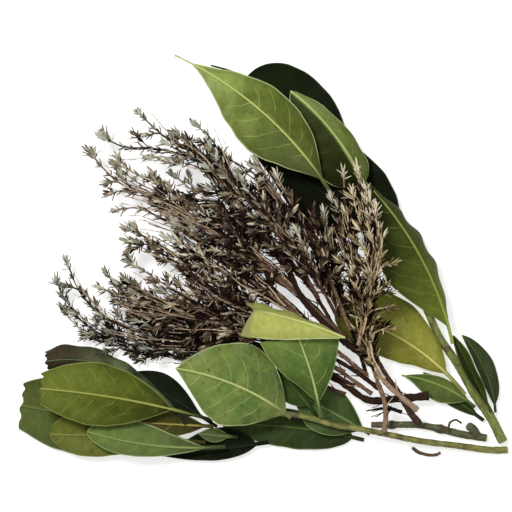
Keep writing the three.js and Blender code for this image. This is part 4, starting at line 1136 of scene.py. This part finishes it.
        # Wide bends 14 mm across and finer ones of 4 mm; straw-coloured branches are curlier.
        curl = 0.3 - 1.3 * min(0, self.hue)
        wide, fine = wander_aside(run, 14, seed, 3), wander_aside(run, 4, seed, 7)
        run += (wide * (1.6, 1.6, 0.7) + fine * curl) * np.sqrt(spread)[:, None]
        return self.strand(run, lerp(radius, radius * 0.5, spread), tone, min(0, self.hue))

    def dead_twigs(self, points):
        """Short bare stubs and twigs along the lower half of the stem."""
        rng = self.random
        for _ in range(rng.randint(8, 12)):
            base, ahead = place_on(points, rng.uniform(0.03, 0.5))
            turn = rng.uniform(0, FULL_TURN)
            way = unit(ahead + 0.8 * leftwards(ahead) * math.cos(turn) + UP * 0.3 * math.sin(turn))
            run = np.array([base + way * reach for reach in np.linspace(0, rng.uniform(2, 12), 7)])
            run += 0.6 * wander_aside(run, 2.5, self.index, 1)
            self.strand(run, np.linspace(0.36, 0.16, 7), self.wood * rng.uniform(0.4, 1.6))

    def leafy_branches(self, points):
        """The sprig's branches, on either side by turns, each leafy towards its tip."""
        rng = self.random
        for number in range(self.branches):
            side = (-1, 1)[number % 2]
            first = self.bare * rng.uniform(0.55, 1.0)
            last = min(0.98, max(first + 0.25, rng.uniform(0.55, 1.0)))
            tone = self.wood + rng.choice((-0.12, 0.0, 0.1, 0.35))
            run = self.branch(points, first, last, side * self.spread * rng.uniform(0.4, 1.2),
                rng.uniform(-2.2, 2.6), rng.uniform(0.36, 0.6), tone, self.index * 9 + number)
            if run is not None:
                leafy = max(0.2, (self.bare - first) / (last - first) + rng.uniform(-0.05, 0.1))
                self.dress(run, leafy, self.tone + rng.gauss(0, 0.08), self.hue)

    def bare_strands(self, points, each, first, run, latest, spread, rise, radius, tone, seed):
        """Thin strands of one kind, with no leaves, that run beside the stem."""
        rng = self.random
        for number in range(each * self.branches):
            start = rng.uniform(*first)
            end = min(latest, start + rng.uniform(*run))
            self.branch(points, start, end, rng.uniform(-1, 1) * self.spread * spread,
                rng.uniform(*rise), rng.uniform(*radius), rng.uniform(*tone), self.index * seed + number)


def sprig_parts(sprig, look, index, settings):
    """The stem, the branches, the twigs and the leaves of one sprig."""
    foliage = Foliage(look, index, settings)
    points = smooth_route(sprig["route"], THYME_STEP)
    share = np.linspace(0, 1, len(points))
    points += 0.35 * wander_aside(points, 7, index, 5) * np.sin(np.pi * share)[:, None]
    radii = lerp(1.08 * sprig["radius"], THYME_TIP_RADIUS * 0.7, share ** 0.7)
    radii = radii * (1 + 0.24 * wander(points, 3, index))
    points = foliage.strand(points, radii, foliage.wood)
    angle = math.radians(TWIG_ANGLE)
    for place, side, length, rise in sprig["twigs"]:
        base, ahead = place_on(points, place)
        way = unit(ahead * math.cos(angle) + leftwards(ahead) * side * math.sin(angle)
            + UP * rise / length)
        foliage.twig_at(base, way, length, foliage.tone, foliage.hue)
    foliage.dead_twigs(points)
    if foliage.bare < 1:
        foliage.dress(points, foliage.bare, foliage.tone, foliage.hue)
    foliage.leafy_branches(points)
    for kind in BARE_STRANDS:
        foliage.bare_strands(points, **kind)
    return foliage


def paint_shade_inside(sprigs):
    """Paints shade deep inside the bunch: lowers the tone of leaves and strands there and draws their hue
    to tan.
    """
    def middle(leaf):
        return leaf.base + leaf.along * leaf.length / 2

    heights = {}
    for foliage in sprigs:
        for x, y, z in map(middle, foliage.leaves):
            heights.setdefault((round(x / COVER_CELL), round(y / COVER_CELL)), []).append(z)

    def light(point):
        """1 in the open, and less the more leaves lie a millimetre or more over the point."""
        x, y = round(point[0] / COVER_CELL), round(point[1] / COVER_CELL)
        over = sum(z > point[2] + 1.0 for dx in (-1, 0, 1) for dy in (-1, 0, 1)
            for z in heights.get((x + dx, y + dy), ()))
        return math.exp(-max(0, over - COVER_FREE) / COVER_FADE)

    # Painted shade: tone falls and hue goes towards tan where other leaves lie over.
    for foliage in sprigs:
        for number, leaf in enumerate(foliage.leaves):
            lit = light(middle(leaf))
            foliage.leaves[number] = leaf._replace(tone=(leaf.tone + 0.05) * lit, hue=leaf.hue * lit)
        for number, strand in enumerate(foliage.strands):
            lit = np.array([light(point) for point in strand.points])
            foliage.strands[number] = strand._replace(tone=strand.tone * (0.05 + 0.95 * lit))


def write_look(piece, tone, hue, wood):
    """Keeps what the thyme's material reads at each vertex."""
    write_value(piece, "tone", tone)
    write_value(piece, "hue", hue)
    write_value(piece, "wood", np.full(len(tone), wood))


def leaf_mesh(name, leaves, leaf_points, leaf_faces, leaf_width):
    """One object with a copy of the thyme leaf's mesh, bent and sized, for each of the leaves."""
    base, along, face, length, tone, hue, curl, broad = (np.array(v) for v in zip(*leaves))
    side = np.cross(face, along)
    x, y, z = leaf_points.T
    width = leaf_width * broad * np.minimum(1, length / 3.2)
    bend = curl[:, None] * length[:, None] * x ** 2
    spread = base[:, None] + along[:, None] * (length[:, None] * x)[..., None]
    spread = spread + side[:, None] * (width[:, None] * y)[..., None]
    spread = spread + face[:, None] * (THYME_LEAF_THICKNESS * z + bend)[..., None]
    spread[..., 2] = np.maximum(spread[..., 2], LEAF_LOW)
    faces = [tuple(v + copy * len(x) for v in f) for copy in range(len(base)) for f in leaf_faces]
    mesh = bpy.data.meshes.new(name)
    mesh.from_pydata(to_bunch(spread.reshape(-1, 3)).tolist(), [], faces)
    piece = bpy.data.objects.new(name, mesh)
    bpy.context.scene.collection.objects.link(piece)
    write_look(piece, np.repeat(tone, len(x)), np.repeat(hue, len(x)), 0.0)
    return piece


def thyme_sprig(name, foliage, leaf_points, leaf_faces, settings):
    """Joins one sprig's strands and its leaves."""
    parts = [strand[:2] for strand in foliage.strands]
    counts = [len(points) for points, _ in parts]
    tones = [np.broadcast_to(strand.tone, len(strand.points)) for strand in foliage.strands]
    hues = np.repeat([strand.hue for strand in foliage.strands], counts)
    stems = strands(name, parts, THYME_SIDES)
    write_look(stems, np.repeat(np.concatenate(tones), THYME_SIDES), np.repeat(hues, THYME_SIDES), 1.0)
    roughen(stems, parts, THYME_SIDES, 0.16, 0.9, 3)
    take(stems)
    if foliage.leaves:
        leaf_mesh(name + "_leaves", foliage.leaves, leaf_points, leaf_faces,
            settings.leaf_width / MM).select_set(True)
        bpy.ops.object.join()
    bpy.ops.object.shade_smooth_by_angle(angle=math.radians(70))
    return stems


class BOUQUET_OT_thyme(bpy.types.Operator):
    """Makes the sprigs of dried thyme, with shade painted into them deep inside the bunch."""
    bl_idname = "bouquet.thyme"
    bl_label = "Thyme"

    def execute(self, context):
        settings = context.scene.bouquet_thyme
        material = thyme_material()
        leaf_points, leaf_faces = thyme_leaf_shape()
        sprigs = [sprig_parts(sprig, look, index, settings)
            for index, (sprig, look) in enumerate(zip(THYME, SPRIG_LOOKS), 1)]
        paint_shade_inside(sprigs)
        for index, foliage in enumerate(sprigs, 1):
            node = f"thyme_sprig_{index:02d}"
            piece = thyme_sprig("fine_" + node, foliage, leaf_points, leaf_faces, settings)
            finish_piece(piece, node, material, THYME_STRAY)
        return {"FINISHED"}


# ---- Stage ----

class BOUQUET_OT_stage(bpy.types.Operator):
    """Sets the pale worktop, the soft light and the camera that looks straight down."""
    bl_idname = "bouquet.stage"
    bl_label = "Stage"

    def execute(self, context):
        settings = context.scene.bouquet_stage
        start_clean()
        bpy.ops.mesh.primitive_plane_add(size=4, location=(0, 0, 0))
        floor = name_piece(bpy.context.object, "worktop")
        # Matt painted board: an even pale ground with hardly any shine.
        material, tree = new_material("Matt white worktop")
        surface = add(tree, PRINCIPLED, inputs={"Base Color": tuple(settings.floor_colour),
            "Roughness": 0.9, "Specular IOR Level": 0.1, "Emission Color": (1.0, 1.0, 1.0),
            "Emission Strength": WORKTOP_GLOW})
        add(tree, OUTPUT, inputs={"Surface": surface})
        floor.data.materials.append(material)

        world = bpy.data.worlds.new("Soft room light")
        world.use_nodes = True
        background = world.node_tree.nodes["Background"]
        background.inputs["Color"].default_value = (1, 1, 1, 1)
        background.inputs["Strength"].default_value = 0.22
        context.scene.world = world
        for name, (place, size, share) in LAMPS.items():
            lamp = bpy.data.lights.new(name, "AREA")
            lamp.shape, lamp.size = "SQUARE", size
            lamp.energy = settings.key_power * share
            light = bpy.data.objects.new(name, lamp)
            light.location = place
            light.rotation_euler = (VIEW_MIDDLE - Vector(place)).to_track_quat("-Z", "Y").to_euler()
            context.scene.collection.objects.link(light)

        lens = bpy.data.cameras.new("camera")
        lens.lens = lens.sensor_width * settings.camera_height / settings.view_width
        camera = bpy.data.objects.new("camera", lens)
        camera.location = (VIEW_MIDDLE.x, VIEW_MIDDLE.y, settings.camera_height)
        context.scene.collection.objects.link(camera)
        context.scene.camera = camera
        context.scene.view_settings.view_transform = "Standard"
        return {"FINISHED"}


# ---- Add-on ----

class BOUQUET_PT_panel(bpy.types.Panel):
    """Lists the bunch's settings and what builds it."""
    bl_idname = "BOUQUET_PT_panel"
    bl_label = "Bouquet garni"
    bl_space_type = "VIEW_3D"
    bl_region_type = "UI"
    bl_category = "Bouquet"

    def draw(self, context):
        for group, operator in PARTS:
            settings = getattr(context.scene, group)
            for key in settings.__annotations__:
                self.layout.prop(settings, key)
            self.layout.operator(operator)
        self.layout.operator("bouquet.stems")


PARTS = (("bouquet_bay", "bouquet.bay_leaves"), ("bouquet_thyme", "bouquet.thyme"),
    ("bouquet_stage", "bouquet.stage"))
CLASSES = (BayLeafSettings, ThymeSettings, StageSettings, BOUQUET_OT_bay_leaves, BOUQUET_OT_stems,
    BOUQUET_OT_thyme, BOUQUET_OT_stage, BOUQUET_PT_panel)


def register():
    for cls in CLASSES:
        bpy.utils.register_class(cls)
    bpy.types.Scene.bouquet_bay = bpy.props.PointerProperty(type=BayLeafSettings)
    bpy.types.Scene.bouquet_thyme = bpy.props.PointerProperty(type=ThymeSettings)
    bpy.types.Scene.bouquet_stage = bpy.props.PointerProperty(type=StageSettings)


def unregister():
    del bpy.types.Scene.bouquet_bay
    del bpy.types.Scene.bouquet_thyme
    del bpy.types.Scene.bouquet_stage
    for cls in reversed(CLASSES):
        bpy.utils.unregister_class(cls)


def main():
    register()
    bpy.ops.bouquet.bay_leaves()
    bpy.ops.bouquet.stems()
    bpy.ops.bouquet.thyme()
    bpy.ops.bouquet.stage()


if __name__ == "__main__":
    main()
